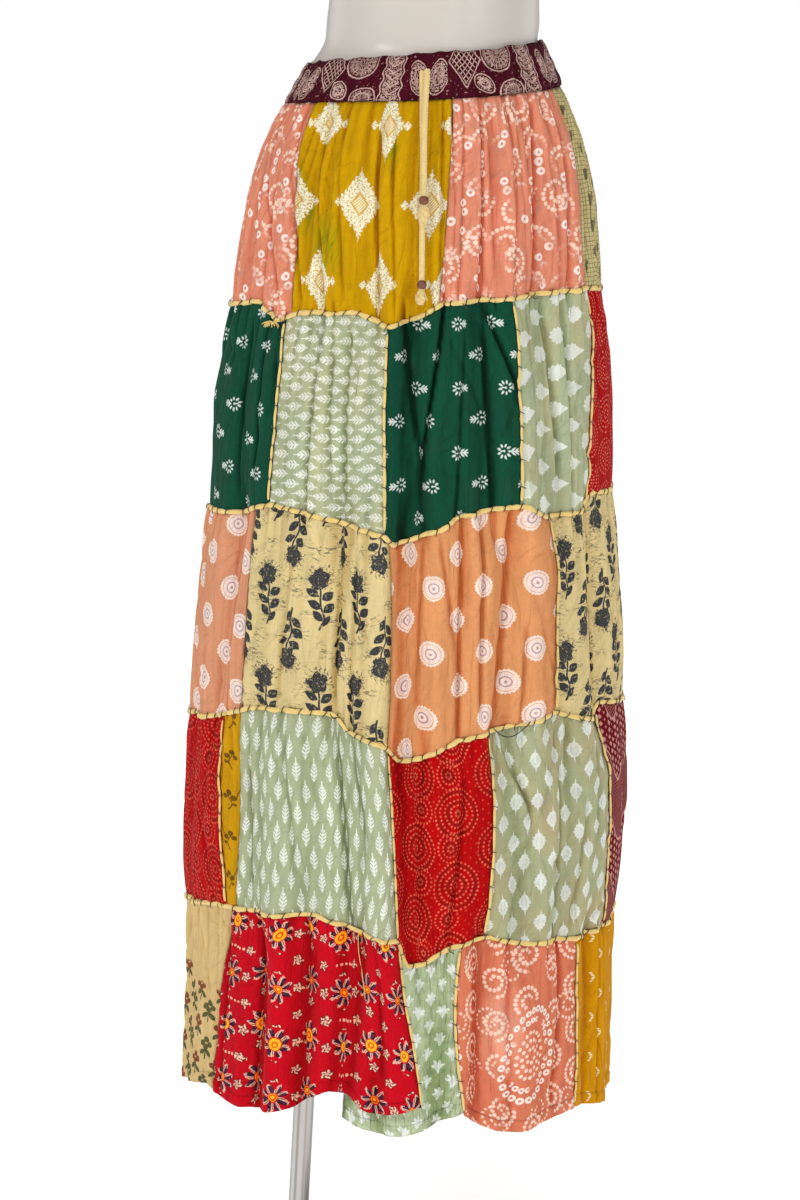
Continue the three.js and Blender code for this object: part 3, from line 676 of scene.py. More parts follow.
def draw_bandhani(f, u, v):
    """Tie-dyed dots: curls of small ones and, in patches, chains of larger ones, with dull stains."""
    chains = f.inside(f.noise(u, v, 34, 44, 5.0) * 10 - 0.2, 1.0)
    small = f.most(curls(f, u, v) * (1 - chains), curls(f, v + 9, u + 20, 42, 50, 1.85, 7.4) * (1 - chains))
    stains = f.inside(f.noise(u, v, 14, 20, 9.0, 1.0) * 10 + 1.7, 2.0)
    colour = f.blend(stains * 0.35, SALMON, paint(176, 146, 132))
    colour = f.blend(small * 0.86, colour, PALE_DOT)
    return f.blend(ring_chains(f, u, v) * chains * 0.86, colour, paint(255, 244, 236))


def draw_diamonds(f, u, v):
    """Large lace diamonds in a brick repeat, on mustard with brushed green blots."""
    y, x, _ = f.repeat(v, u, 72, 79, 0.38)
    away = abs(x) / 20 + abs(y) / 29
    scallop = f.sine(abs(x) * 1.1 - abs(y) * 0.8) * 0.6 + f.noise(u, v, 2, 2, 31.0) * 2.6
    body = f.inside((away - 1) * 12 + scallop, 0.6)
    tips = f.most(f.kite(abs(x) - 22.5, y, 4.0, 4.6), f.leaf(x, y, 2.2, 34))
    window = f.inside((away - 0.36) * 14, 0.5)
    stripes = f.inside(f.stripe(x + y, 2.6) - 0.8, 0.4)
    outline = f.inside(abs(away - 0.36) * 12 - 0.6, 0.6) * 0.8
    lace = f.inside(f.noise(u, v, 1.6, 1.6, 37.0) * 7 + 0.5, 0.8)
    brushed = 0.5 + f.noise(u + v * 0.5, v, 4, 18, 41.0, 1.0) * 2.2
    blots = f.most(*(f.inside((f.root(a * a + b * b) - 1) * 1.6, 1.6) for a, b in (
        ((u - 8 + (v - 102) * -0.5) / 16, (v - 102) / 36),
        ((u - 52) / 19, (v - 148) / 24),
        ((u - 126) / 9, (v - 56) / 18))))
    ground = f.blend(f.math("MULTIPLY", blots, brushed, clamp=True) * 0.75, MUSTARD, paint(92, 136, 8))
    white = f.blend(lace * 0.75, paint(240, 234, 206), paint(196, 160, 60))
    white = f.blend(window, white, f.blend(stripes, paint(206, 164, 60), paint(244, 234, 196)))
    white = f.blend(outline, white, paint(206, 158, 30))
    return f.blend(f.most(body, tips), ground, white)


def draw_grid_buds(f, u, v):
    """Thin uneven brown lines both ways, and small dark buds in columns."""
    lines = f.most(*(f.inside(f.stripe(w, 4.1) - 0.3, 0.4) for w in (u, v)))
    x, y, _ = f.repeat(u, v, 17, 24)
    bud = f.most(f.leaf(x, y, 2.8, 6), f.disc(x - 2.4, y + 3.4, 1.9))
    colour = f.blend(lines * 0.8, paint(204, 190, 134), paint(96, 78, 48))
    return f.blend(bud * 0.8, colour, paint(78, 76, 58))


def draw_suns(f, u, v):
    """Small white suns, a dot in a ring of petals, each with a barbed arrow at its side."""
    x, y, parity = f.repeat(u, v, 29, 58)
    x = x * (2 * parity - 1)
    radius, turn = f.polar(x, y)
    arc = (f.fract(turn * (9 / TAU)) - 0.5) * radius * (TAU / 9)
    out = radius - 5.0
    petal = f.inside((f.root(arc * arc / 0.95**2 + out * out / 1.7**2) - 1) * 0.95, 0.6)
    tip = x + 9.5
    barbs = [f.leaf(*f.turned(tip + a, abs(y) - b, 50), 0.9, 2.9) for a, b in ((-1.8, 1.7), (1.2, 1.3))]
    shaft = f.line(y, 0.65) * f.line(tip, 4)
    print_ = f.most(petal, f.disc(x, y, 1.0), f.line(x - 2, 1.6) * f.line(y, 0.5), *barbs, shaft)
    thin = f.inside(f.noise(u, v, 26, 40, 43.0) * 10 + 2.2, 3.0)
    ground = f.blend(thin * 0.4, DARK_GREEN, paint(38, 66, 44))
    return f.blend(print_ * 0.82, ground, paint(232, 240, 234))


def draw_ferns(f, u, v):
    """Rows of small feathered leaves on thin tails, that point across the cloth."""
    y, x, _ = f.repeat(v, u, 8.8, 24)
    leaf = f.most(f.fern(y, x - 1, 3.9, 8.0, 3.5), f.line(y, 0.5) * f.line(x + 7.5, 2.5))
    faded = 0.7 + f.noise(u, v, 24, 60, 47.0) * 0.5
    ground = f.blend(f.inside(f.noise(u, v, 16, 90, 49.0) * 8, 3.0) * 0.35, SAGE, paint(196, 188, 140))
    return f.blend(leaf * faded, ground, paint(246, 246, 238))


def draw_butas(f, u, v):
    """Pointed drops with a scalloped round body and fine veins, points to the right."""
    x, y, _ = f.repeat(u, v, 25, 34)
    radius, turn = f.polar(x + 3, y)
    body = f.inside(radius - 7.4 - 0.7 * f.sine(turn * 11), 0.7)
    tip = f.inside(abs(y) - (12 - x) * 0.5) * f.line(x - 5.5, 6.5)
    veins = f.line(f.sine(radius * 1.5 + turn * 2), 0.3, 0.4) * f.inside(radius - 6, 0.8)
    worn = 0.7 + f.noise(u, v, 18, 24, 51.0) * 0.6
    ground = f.blend(f.inside(f.noise(u, v, 22, 70, 49.0) * 8 + 0.5, 3.0) * 0.5, SAGE, paint(196, 180, 134))
    return f.blend(f.most(body, tip) * (1 - veins * 0.35) * worn, ground, paint(240, 243, 236))


def draw_rings(f, u, v, strength=1.0):
    """Large targets, and small ones to the side between them: circles of dots, with uneven brown
    rings between them, on red. The rest is strewn with faint dots."""
    step = 5.2
    colour, clear = paint(180, 5, 8), 1.0
    worn = f.noise(u, v, 13, 13, 55.0, 1.0)
    for reach, below, aside, browns in ((26.0, 0, 0, (10.4, 20.8)), (15.6, 36, 8, (5.2,))):
        x, y, parity = f.repeat(u, v + below, 48, 68)
        radius, turn = f.polar(x + (1 - 2 * parity) * aside, y)
        radius = radius + worn * 2.4
        index = f.floor(radius / step)
        count = 8 * index + 6
        arc = (f.fract(turn / TAU * count) - 0.5) * TAU * (index + 0.5) * step / count
        off = radius - (index + 0.5) * step
        within = f.inside(radius - reach, 0.5)
        brown = f.most(*(f.line(radius - ring, 1.3, 0.9) for ring in browns), f.inside(radius - 3.6, 1))
        colour = f.blend(brown * within * (0.5 + worn * 0.9), colour, paint(112, 24, 14))
        dots = f.inside(f.root(arc * arc + off * off) - 1.0, 0.8) * within
        colour = f.blend(dots * (0.72 + worn * 1.1) * strength, colour, paint(236, 116, 88))
        clear = clear * (1 - within)
    x, y, _ = f.repeat(u, v, 5.4, 9)
    return f.blend(f.disc(x, y, 0.8, 0.8) * clear * (0.4 + worn) * strength, colour, paint(230, 104, 80))


def draw_small_dots(f, u, v):
    """Lines of tiny pale dots in arcs, on red."""
    x, y, _ = f.repeat(u, v, 34, 40)
    radius, turn = f.polar(x, y)
    rings = ((4, 8), (8, 15), (12.5, 24), (17, 32))
    chains = f.most(*(f.chain(radius, turn, ring, count, 0.85) for ring, count in rings))
    return f.blend(chains * 0.65, paint(172, 12, 14), paint(232, 140, 120))


def draw_medallions(ground):
    def draw(f, u, v):
        """Round medallions, a little pointed across: a scalloped white rim, and rings of white and
        mauve inside it."""
        x, y, _ = f.repeat(u, v, 36, 60)
        radius, turn = f.polar(x * 0.92, y)
        point = f.math("POWER", abs(x) * 0.92 / f.most(radius, 0.1), 8.0) * 0.7
        rag = f.noise(u, v, 1.8, 1.8, 53.0, 1.0)
        rim = f.inside(radius - 11.4 - 0.45 * f.sine(turn * 22) - point - rag * 1.4, 0.7)
        gap = f.line(radius - 9.0, 0.5, 0.5)
        core = f.inside(radius - 8.2, 0.6)
        dashes = f.line(f.sine(turn * 12), 0.4, 0.4) * f.line(radius - 6.8, 0.8, 0.5)
        lines = f.most(f.line(radius - 4.6, 0.7, 0.5), f.disc(x, y, 1.5), dashes * 0.6)
        worn = f.math("ADD", 0.84, rag * 0.6, clamp=True)
        colour = f.blend(rim * worn * (1 - gap * 0.7), ground, paint(250, 236, 226))
        return f.blend(core * lines * 0.75, colour, MAUVE)
    return draw


def draw_roses(f, u, v):
    """Dark roses on leafy stems, upright and upside down by turns, with whiskers over the bloom and
    fine twigs that run across between them."""
    x, y, parity = f.repeat(u, v, 29, 94, 0.42)
    flip = 1 - 2 * parity
    x, y = x * flip + 2.0 * f.sine(y * 0.1), y * flip
    radius, turn = f.polar(x, y - 17)
    rag = f.noise(u, v, 3.0, 3.0, 57.0, 1.0)
    flower = f.inside(radius - 9.6 - 0.9 * f.sine(turn * 5 + 1) - rag * 7, 0.7)
    whiskers = f.line(f.sine(turn * 9 + rag * 7), 0.34, 0.25) * f.inside(radius - 14.5 - rag * 10, 1)
    whiskers = whiskers * f.inside(15 - y, 2)
    stem = f.line(x + 1.2 * f.sine(y * 0.25), 1.0) * f.line(y + 10, 19)
    leaves = [
        f.leaf(*f.turned(side * x - a - rag * 2, y - b - rag, slope), half_width, half_length)
        for side, a, b, slope, half_width, half_length in (
            (1, 6.6, 5, -58, 3.8, 6.6), (-1, 7.4, 2, -62, 3.9, 6.8), (1, 7.0, -6, -56, 4.0, 7.0),
            (-1, 6.0, -9, -50, 3.9, 6.8), (1, 4.8, -16, -44, 3.7, 6.6), (-1, 3.4, -21, -30, 3.2, 6.0))]
    petals = f.line(f.sine(radius * 1.25 + turn * 2 + rag * 3), 0.1, 0.3) * f.inside(radius - 7.4, 1)
    veins = f.inside(0.13 - rag, 0.06) * 0.35
    dark = f.most(flower * (1 - petals * 0.35), whiskers * 0.9, stem, *leaves) * (1 - veins)
    twigs = f.inside(abs(f.noise(u, v, 15, 4, 61.0, 2.0)) * 30 - 0.5, 0.8)
    twigs = twigs * f.inside(f.noise(u, v, 22, 16, 63.0) * 10 + 0.4, 1.0)
    return f.blend(f.most(dark * 0.97, twigs * 0.75), CREAM, INK)


def draw_sprigs(f, u, v):
    """Brown sprigs of three buds on curved stems, mirrored by turns, on mustard."""
    pitch = 38
    x, y, _ = f.repeat(u, v, 30, pitch)
    x = (x * 0.6) * (1 - 2 * (f.floor(v / pitch) % 2))
    rag = f.noise(u, v, 2, 2, 89.0, 1.0)
    places = ((-1, -5, 2.5), (-4, -1, 2.2), (3, -1, 2.6), (4, 5, 1.7))
    buds = f.most(*(f.disc(x - a, y - b, radius) for a, b, radius in places))
    stem = f.line(x - 1.8 * f.sine(y * 0.35) + rag * 2, 0.6) * f.line(y - 2, 9)
    fine = f.line(x + y * 0.4 - 4 + rag * 3, 0.5) * f.line(y + 9, 6)
    worn = 1 - f.inside(0.16 - rag, 0.1) * 0.5
    return f.blend(f.most(buds * worn, stem, fine) * 0.85, paint(206, 152, 8), paint(84, 52, 22))


def draw_upright_ferns(f, u, v):
    """Close rows of upright feathered leaves, each row half a leaf aside of the last."""
    x, y, _ = f.repeat(u, v, 7.8, 41)
    leaf = f.most(f.fern(x, y - 1, 3.7, 9.6, 3.5), f.line(x, 0.5) * f.line(y + 1, 10.5))
    faded = 0.7 + f.noise(u, v, 20, 30, 67.0) * 0.5
    return f.blend(leaf * faded, paint(170, 177, 141), paint(246, 248, 242))


def draw_olive_diamonds(f, u, v):
    """Pointed white drops with scalloped sides and a small drop drawn inside, on a ground that turns
    brown."""
    x, y, _ = f.repeat(u, v, 14.8, 39)
    side = abs(x)
    rag = f.noise(u, v, 1.7, 1.7, 91.0, 1.0)
    body = f.inside(side - 6.0 + y * y * (6.0 / 8.8**2) - 0.6 * f.sine(abs(y) * 2.2) - rag * 1.4, 0.7)
    tip = f.leaf(x, y, 1.3, 12.5)
    inner = f.line(side - 2.6 + (y - 0.5) * (y - 0.5) * (2.6 / 5**2), 0.45, 0.5)
    worn = 0.7 + f.noise(u, v, 16, 24, 73.0) * 0.5
    brown = f.inside(f.noise(u, v, 40, 60, 75.0, 1.0) * 10 + 0.5, 4.0) * 0.6
    ground = f.blend(brown, paint(169, 174, 135), paint(182, 161, 120))
    return f.blend(f.most(body * (1 - inner * 0.4), tip) * worn, ground, paint(236, 241, 238))


def draw_maroon(f, u, v):
    """Bands of fine slanting lines and of small diamonds on maroon, with a pale vine between."""
    slant = f.inside(f.stripe(u + v, 3.2) - 0.45, 0.5)
    x, y, _ = f.repeat(u, v, 5.6, 7)
    seeds = f.kite(x, y, 2.0, 2.6)
    band = f.sine(v * (TAU / 120) + f.sine(u * 0.12))
    vine = f.inside(abs(band) * 9 - 0.6, 0.5)
    print_ = f.most(slant * f.inside(band * 10, 1) * 0.5, seeds * f.inside(-band * 10, 1) * 0.8, vine * 0.9)
    return f.blend(print_ * 0.85, paint(112, 12, 24), paint(226, 176, 164))


def draw_cream_sprigs(f, u, v):
    """Small brown-red and green flower heads, only towards the hem."""
    x, y, parity = f.repeat(u, v, 19, 38)
    x = x * 0.7
    rag = f.noise(u, v, 2, 2, 79.0, 1.0)
    heads = f.most(*(f.disc(x - a - rag * 2, y - b, 2.9) for a, b in ((0, -8), (-4, -4), (4, -4), (0, -1))))
    leaves = f.leaf(*f.turned(abs(x) - 3.6, y - 5, -45), 2.2, 5.0)
    foot = f.most(f.line(x, 0.7) * f.line(y - 6, 6), leaves)
    below = f.inside(88 - v, 4) * f.math("ADD", 0.95, rag * 0.8, clamp=True)
    colour = f.blend(foot * below, paint(216, 186, 128), paint(74, 80, 46))
    return f.blend(heads * below, colour, f.blend(parity, paint(126, 58, 40), paint(82, 84, 50)))


def draw_red_floral(f, u, v):
    """Stars of eight short dark petals, edged with cream along one side, round a large yellow eye.
    Every other one down a column has a small eye and longer petals. Between them come little cream
    blooms with dark hearts, and short rows of dots, on red."""
    pitch, drop = 54, 0.15
    x, y, parity = f.repeat(u, v, 42, pitch, drop)
    slim = f.floor((v + parity * (drop * pitch)) / pitch) % 2
    radius, turn = f.polar(x, y)
    rag = f.noise(u, v, 2.0, 2.0, 87.0, 1.0)
    sector = f.fract(turn * (8 / TAU) + parity * 0.3) - 0.5
    reach = 8.4 - slim * 2.6 + (1 - sector * sector * 4) * (6.4 + slim * 2.8) + rag * 6
    star = f.inside(radius - reach, 0.7)
    heart = f.inside(radius - reach + 1.5, 0.7)
    dark, cream = paint(38, 22, 36), paint(244, 192, 170)
    colour = f.blend(star, paint(196, 8, 28), f.blend(f.inside(sector + rag * 0.5 - 0.12, 0.1), dark, cream))
    bruised = f.blend(f.inside(rag - 0.02, 0.1) * 0.5, dark, paint(120, 60, 96))
    colour = f.blend(heart * f.line(sector, 0.34, 0.1), colour, bruised)
    colour = f.blend(heart * f.line(sector + 0.16, 0.07, 0.06) * 0.9, colour, cream)
    eye = 5.7 - slim * 2.0
    colour = f.blend(f.inside(radius - eye - 1.2, 0.6), colour, paint(214, 30, 24))
    colour = f.blend(f.inside(radius - eye + rag * 1.4, 0.5), colour, paint(255, 184, 40))
    colour = f.blend(f.line(radius - 2.4, 0.7, 0.5), colour, paint(228, 76, 16))
    clear = f.inside(16.5 - radius, 0.8)
    x, y, _ = f.repeat(u + 10, v + 14, 21, 27, 0.5)
    radius, turn = f.polar(x, y)
    edge = radius - 0.9 * f.sine(turn * 5 + 1.6) - rag * 3.4
    ring = f.line(edge - 3.3, 0.95, 0.6) * f.inside(0.32 - abs(f.sine(turn * 2.5 + 0.7)), 0.3)
    colour = f.blend(f.inside(edge - 5.2, 0.6) * clear * 0.9, colour, paint(98, 14, 26))
    colour = f.blend(f.most(ring, f.inside(edge - 1.1, 0.6)) * clear, colour, paint(246, 200, 174))
    x, y, _ = f.repeat(u + 10, v + 27, 84, 54, 0.5)
    across = (f.fract(x / 4.9) - 0.5) * 4.9
    dots = f.disc(across, y, 1.45) * f.line(x, 17)
    return f.blend(dots * clear * 0.9, colour, paint(246, 206, 176))


def draw_lotus(f, u, v):
    """Soft white lotus heads on pale green: fans of seven petals over a small foot."""
    x, y, _ = f.repeat(u, v, 12.4, 27)
    radius, turn = f.polar(x, y - 2)
    fan = f.inside(radius - 3.2 - 3.0 * abs(f.sine(turn * 3.5)), 0.9) * f.inside(y - 3.6, 1)
    foot = f.most(f.leaf(x, y - 6, 1.7, 4), f.inside(abs(x) - 3.4 + abs(y - 4.5) * 2))
    worn = 0.78 + f.noise(u, v, 6, 6, 77.0) * 0.7
    return f.blend(f.most(fan, foot) * worn, paint(187, 201, 161), paint(246, 250, 244))


def draw_paisley(f, u, v):
    """Curls near the top, and one large drop of ring dots, in two staggered rows, round ovals of
    smaller dots."""
    x, y = (u - 119 + 63) % 126 - 63, v - 118
    lean = (x + y * 0.2) * (1 - y * 0.006)
    radius, turn = f.polar(lean, y * 0.68)
    outside = f.inside(36 - radius, 2)

    def oval(ring, count, size, hole=0.0, shift=0.0):
        """Round dots whose middles lie on an oval, each at the middle of its share of the turn."""
        at = (f.floor((turn + shift) * (count / TAU)) + 0.5) * (TAU / count) - shift
        off, fall = lean - f.math("COSINE", at) * ring, y - f.sine(at) * (ring / 0.68)
        away = f.root(off * off + fall * fall)
        return f.inside(abs(away - (size + hole) / 2) - (size - hole) / 2, 0.5)

    small = f.most(curls(f, u + 8, v + 20, 36, 42), curls(f, v + 40, u + 3, 48, 52, 1.35, 7.2)) * outside
    inner = f.most(oval(15, 19, 1.9), oval(10.2, 13, 1.9, 0.0, 0.2), oval(5.2, 7, 1.8))
    pale = f.inside(f.root((u - 90) * (u - 90) / 18**2 + (v - 92) * (v - 92) / 34**2) - 1, 1.4)
    colour = f.blend(pale * 0.45, paint(217, 122, 90), paint(240, 190, 166))
    colour = f.blend(f.most(small, inner) * 0.82, colour, PALE_DOT)
    broken = f.line(f.fract(turn * 0.8) - 0.5, 0.32, 0.1)
    rings = f.most(oval(30, 27, 3.3, 1.1), oval(23.4, 25, 2.8, 1.0, 0.12) * broken)
    return f.blend(rings * 0.88, colour, paint(255, 242, 232))


def draw_chevrons(f, u, v):
    """A few small pale chevrons of dashes, points across the cloth, on mustard."""
    x, y, _ = f.repeat(u, v, 24, 40)
    mark = f.line(x + abs(y) * 0.8 - 1.6, 1.5) * f.line(y, 4.6)
    gaps = f.inside(f.stripe(y, 2.8) - 1.1, 0.5)
    return f.blend(mark * gaps * 0.85, paint(207, 143, 0), paint(250, 232, 186))


def draw_ornaments(f, u, v):
    """Four large motifs by turns, filled with pale line work, on maroon: a shell that hangs from the
    top edge, a lace column, a pair of eggs that lean together, and a net in a kite. Below each shell
    an egg leans to its left and a half shell rises from the bottom edge to its right."""
    cell = 33
    index = f.floor(u / cell)
    x = u - (index + 0.5) * cell
    kind = index % 4
    rag = f.noise(u, v, 2, 2, 81.0, 1.0)
    lace = f.inside(abs(f.noise(u, v, 2.4, 2.4, 83.0, 1.0)) * 14 - 0.9, 1.0)
    side = abs(x)

    def shape(edge, fill):
        """A line along an edge, a second one inside it, and a fill within."""
        edge = edge + rag * 1.6
        return f.most(f.line(edge, 0.6, 0.5), f.inside(edge + 1.9) * fill)

    radius, turn = f.polar(x, v - 4)
    shell = shape(radius - 16.5, f.most(f.line(f.sine(turn * 9), 0.26, 0.3) * f.line(radius - 10, 4.5),
                                        f.line(f.sine(radius * 0.8), 0.18, 0.3), lace * 0.6))
    bars = f.line(f.fract((v + side * 0.7) / 6.5) - 0.5, 0.1, 0.1)
    column = shape(side - 9 - f.sine(v * 0.5), f.most(bars, lace * 0.9))
    radius, turn = f.polar((side - 8.6 + (v - 22) * 0.16) * 1.9, v - 23)
    eggs = shape(radius - 16, f.most(lace, f.line(radius - 8, 0.6, 0.5)))
    net = f.most(*(f.inside(f.stripe(v * 0.8 + s * x, 5) - 0.5, 0.5) for s in (1, -1)))
    kite = shape(side - 15 + abs(v - 9) * 0.62, net)
    print_ = f.math("MULTIPLY", shell, f.line(kind, 0.5, 0.01))
    for place_in_turn, motif in enumerate((column, eggs, kite)):
        print_ = f.most(print_, motif * f.line(kind - place_in_turn - 1, 0.5, 0.01))
    x = (u - cell / 2 + cell * 2) % (cell * 4) - cell * 2
    radius, turn = f.polar((x + 16 - (v - 31) * 0.4) * 1.2, v - 31)
    egg = shape(radius - 9.5, f.most(lace, f.line(radius - 4.6, 0.6, 0.5)))
    radius, turn = f.polar(x - 9, (v - 41) * 1.05)
    ribs = f.line(f.sine(turn * 7), 0.26, 0.4)
    half_shell = shape(radius - 12, f.most(ribs, f.line(radius - 7, 0.6, 0.5), lace * 0.5))
    specks = f.inside(f.noise(u, v, 2.6, 2.6, 85.0) * 20 + 4.9, 1.0) * 0.5
    return f.blend(f.most(print_, egg, half_shell, specks) * 0.8, paint(72, 11, 27), paint(226, 192, 178))


# Slot, print and, where they differ from plain cotton, settings.
PRINTS = (
    ("band_print", draw_ornaments, {"crinkle": 0.9, "unevenness": 0.9}),
    ("bandhani_salmon", draw_bandhani, {"crinkle": 0.55}),
    ("diamond_mustard", draw_diamonds, {}),
    ("grid_bud_cream", draw_grid_buds, {}),
    ("sun_green", draw_suns, {"wash": 0.2}),
    ("fern_sage", draw_ferns, {}),
    ("buta_sage", draw_butas, {}),
    ("bandhani_red", draw_small_dots, {}),
    ("medallion_peach", draw_medallions(paint(217, 149, 112)), {}),
    ("medallion_orange", draw_medallions(paint(219, 149, 97)), {}),
    ("rose_cream", draw_roses, {}),
    ("dotted_red", lambda f, u, v: draw_rings(f, u, v, 0.7), {}),
    ("sprig_mustard", draw_sprigs, {}),
    ("leaf_sage", draw_upright_ferns, {}),
    ("rings_red", draw_rings, {}),
    ("diamond_olive", draw_olive_diamonds, {}),
    ("vine_maroon", draw_maroon, {}),
    ("sprig_cream", draw_cream_sprigs, {}),
    ("floral_red", draw_red_floral, {"unevenness": 2.2}),
    ("crinkle_green", draw_lotus, {"crinkle": 1.9, "unevenness": 1.8}),
    ("paisley_salmon", draw_paisley, {"crinkle": 0.45}),
    ("chevron_mustard", draw_chevrons, {"crinkle": 0.55}),
)
FABRICS = {name: cotton(name, draw, **settings) for name, draw, settings in PRINTS}


def thread_finish(name, colour, shade_size):
    """Spun cotton in object space: uneven colour and a fuzzy bump."""
    finish = Finish(name)
    x, y, z = finish.spot()
    spun = finish.noise(x + y, z, shade_size, shade_size, 5.0, 2.0)
    fuzz = finish.noise(x - y, z, 0.35, 0.35, 9.0, 1.0)
    colour = finish.shade(colour, 1 + spun * 0.35 + fuzz * 0.3)
    return finish.finish(colour, 0.8, fuzz * 0.25 + spun * 0.4, sheen=0.3, specular=0.2)


# ---------------------------------------------------------------- patches

# Name, slot, left edge's angle at the top and at the bottom, its bow at mid height in degrees, and
# where the print starts across and down. The next row's left edge is a patch's right edge.
TIERS = [
    ("band_seam", "seam_1", [
        ("t1_salmon_side", "bandhani_salmon", -112, -112, 0, 10, 6),
        ("t1_mustard", "diamond_mustard", -54, -43, 2.5, 0, 11.5),
        ("t1_salmon", "bandhani_salmon", 10, 6, 0, 0, 0),
        ("t1_cream", "grid_bud_cream", 68, 64, -5, 0, 0),
        ("t1_back_mustard", "diamond_mustard", 112, 112, 0, 60, 10),
        ("t1_back_salmon", "bandhani_salmon", 157, 157, 0, 24, 30),
        ("t1_back_cream", "grid_bud_cream", 203, 203, 0, 0, 0)]),
    ("seam_1", "seam_2", [
        ("t2_green_side", "sun_green", -115, -115, 0, 6, 20),
        ("t2_sage", "fern_sage", -45, -44, 1.5, 5, 5),
        ("t2_green", "sun_green", -9, -7, 0, 8, 8),
        ("t2_sage_buta", "buta_sage", 29, 31, 0, 8, 12),
        ("t2_red", "bandhani_red", 67, 61, -3.5, 0, 0),
        ("t2_back_green", "sun_green", 108, 108, 0, 0, 40),
        ("t2_back_red", "bandhani_red", 152, 152, 0, 0, 0),
        ("t2_back_sage", "fern_sage", 200, 200, 0, 0, 0)]),
    ("seam_2", "seam_3", [
        ("t3_peach_side", "medallion_peach", -118, -118, 0, 20, 10),
        ("t3_cream", "rose_cream", -50, -48, 0, 6, 22),
        ("t3_peach", "medallion_orange", -6, -5, 1, 12, 20),
        ("t3_cream_side", "rose_cream", 43, 42, 0, 10, 40),
        ("t3_back_peach", "medallion_peach", 110, 110, 0, 0, 0),
        ("t3_back_cream", "rose_cream", 155, 155, 0, 0, 0),
        ("t3_back_salmon", "bandhani_salmon", 200, 200, 0, 0, 0)]),
    ("seam_3", "seam_4", [
        ("t4_red_side", "dotted_red", -115, -115, 0, 0, 20),
        ("t4_mustard_strip", "sprig_mustard", -57, -52, 0, 0, 10),
        ("t4_sage", "leaf_sage", -48, -48, 1, 0, 8),
        ("t4_red_rings", "rings_red", -5, -1, 0, 10, 30),
        ("t4_sage_buta", "diamond_olive", 22, 22, 0, 0, 0),
        ("t4_maroon", "vine_maroon", 62, 69, -1.5, 0, 0),
        ("t4_back_sage", "leaf_sage", 112, 112, 0, 0, 0),
        ("t4_back_red", "dotted_red", 156, 156, 0, 0, 0),
        ("t4_back_mustard", "sprig_mustard", 201, 201, 0, 0, 0)]),
    ("seam_4", "hem", [
        ("t5_cream", "sprig_cream", -116, -116, 0, 4, 0),
        ("t5_red_floral", "floral_red", -50, -58, -1.5, 4, 6),
        ("t5_green", "crinkle_green", -1, 6, 0.5, 0, 0),
        ("t5_salmon", "paisley_salmon", 15, 18, -2, 0, 0),
        ("t5_mustard", "chevron_mustard", 52, 54, 0, 13, 10),
        ("t5_back_green", "crinkle_green", 114, 114, 0, 0, 0),
        ("t5_back_salmon", "paisley_salmon", 158, 158, 0, 0, 0),
        ("t5_back_red", "floral_red", 202, 202, 0, 0, 0)]),
]
FRONT_MESH, BACK_MESH = (2.2, 3.4), (4.2, 5.5)  # size of a patch's quads, across and down
TIER_DROP, DEGREE = 205, 3.5  # a tier's length, and millimetres of cloth in one degree
BAND_ROWS, BAND_COLUMNS = 19, 481
TUCKED = "t5_green"  # it passes behind its left neighbour
TUCK_DOWN = (0, 0.18, 0.55, 1)
TUCK_UNDER = (0, 0, 19, 22)  # degrees its left edge runs back, down the tier
TUCK_INSET = (0, 3, 8, 11)  # millimetres it lies further in
TUCK_WIDTH = 8
TUCK_DEGREE = 3.6  # millimetres of its print in one degree


def edge_angle(row, down):
    """Angle of an upright seam down its tier: straight, with a bow of a parabola."""
    return row[2] + (row[3] - row[2]) * down + 4 * row[4] * down * (1 - down)


def patch_grid(upper, lower, row, following, turn):
    """Over a patch's grid: the angles, the heights, the distances below the upper seam and above the
    lower one, and how far it is set in behind its neighbour."""
    name = row[0]
    across_step, down_step = BACK_MESH if "back" in name else FRONT_MESH
    width = abs(following[2] + turn - row[2]) * DEGREE
    rows, columns = int(TIER_DROP / down_step) + 1, max(int(width / across_step), 6) + 1
    down, across = np.meshgrid(np.linspace(0, 1, rows), np.linspace(0, 1, columns), indexing="ij")
    left = edge_angle(row, down) + SEAM_ANGLE
    right = edge_angle(following, down) + turn - SEAM_ANGLE
    inset = np.zeros_like(down)
    seam = left
    if name == TUCKED:
        left = left - np.interp(down, TUCK_DOWN, TUCK_UNDER)
        lower = "hem_under"
    angle = left + (right - left) * across
    if name == TUCKED:
        inset = np.interp(down, TUCK_DOWN, TUCK_INSET) * np.clip(1 - (angle - seam) / TUCK_WIDTH, 0, 1)
    top = line_height(upper, angle) - HALF_SEAM
    bottom = line_height(lower, angle) + HALF_SEAM
    height = top + (bottom - top) * down
    return angle, height, top - height, height - bottom, inset


def hem_relief(above):
    """A turned-up hem: thicker by the turning, with a groove along its line of stitches."""
    turning = 0.7 / (1 + np.exp((above - HEM_DEPTH) * 1.6))
    return turning - 0.8 * np.exp(-((above - HEM_DEPTH) / 1.1) ** 2)


def distances(points):
    """Distances of a grid's points from its left edge, along the rows, and from its upper edge, along
    the columns."""
    across = np.linalg.norm(np.diff(points, axis=1), axis=2)
    down = np.linalg.norm(np.diff(points, axis=0), axis=2)
    u = np.concatenate([np.zeros((len(points), 1)), np.cumsum(across, axis=1)], axis=1)
    v = np.concatenate([np.zeros((1, points.shape[1])), np.cumsum(down, axis=0)], axis=0)
    return u, v


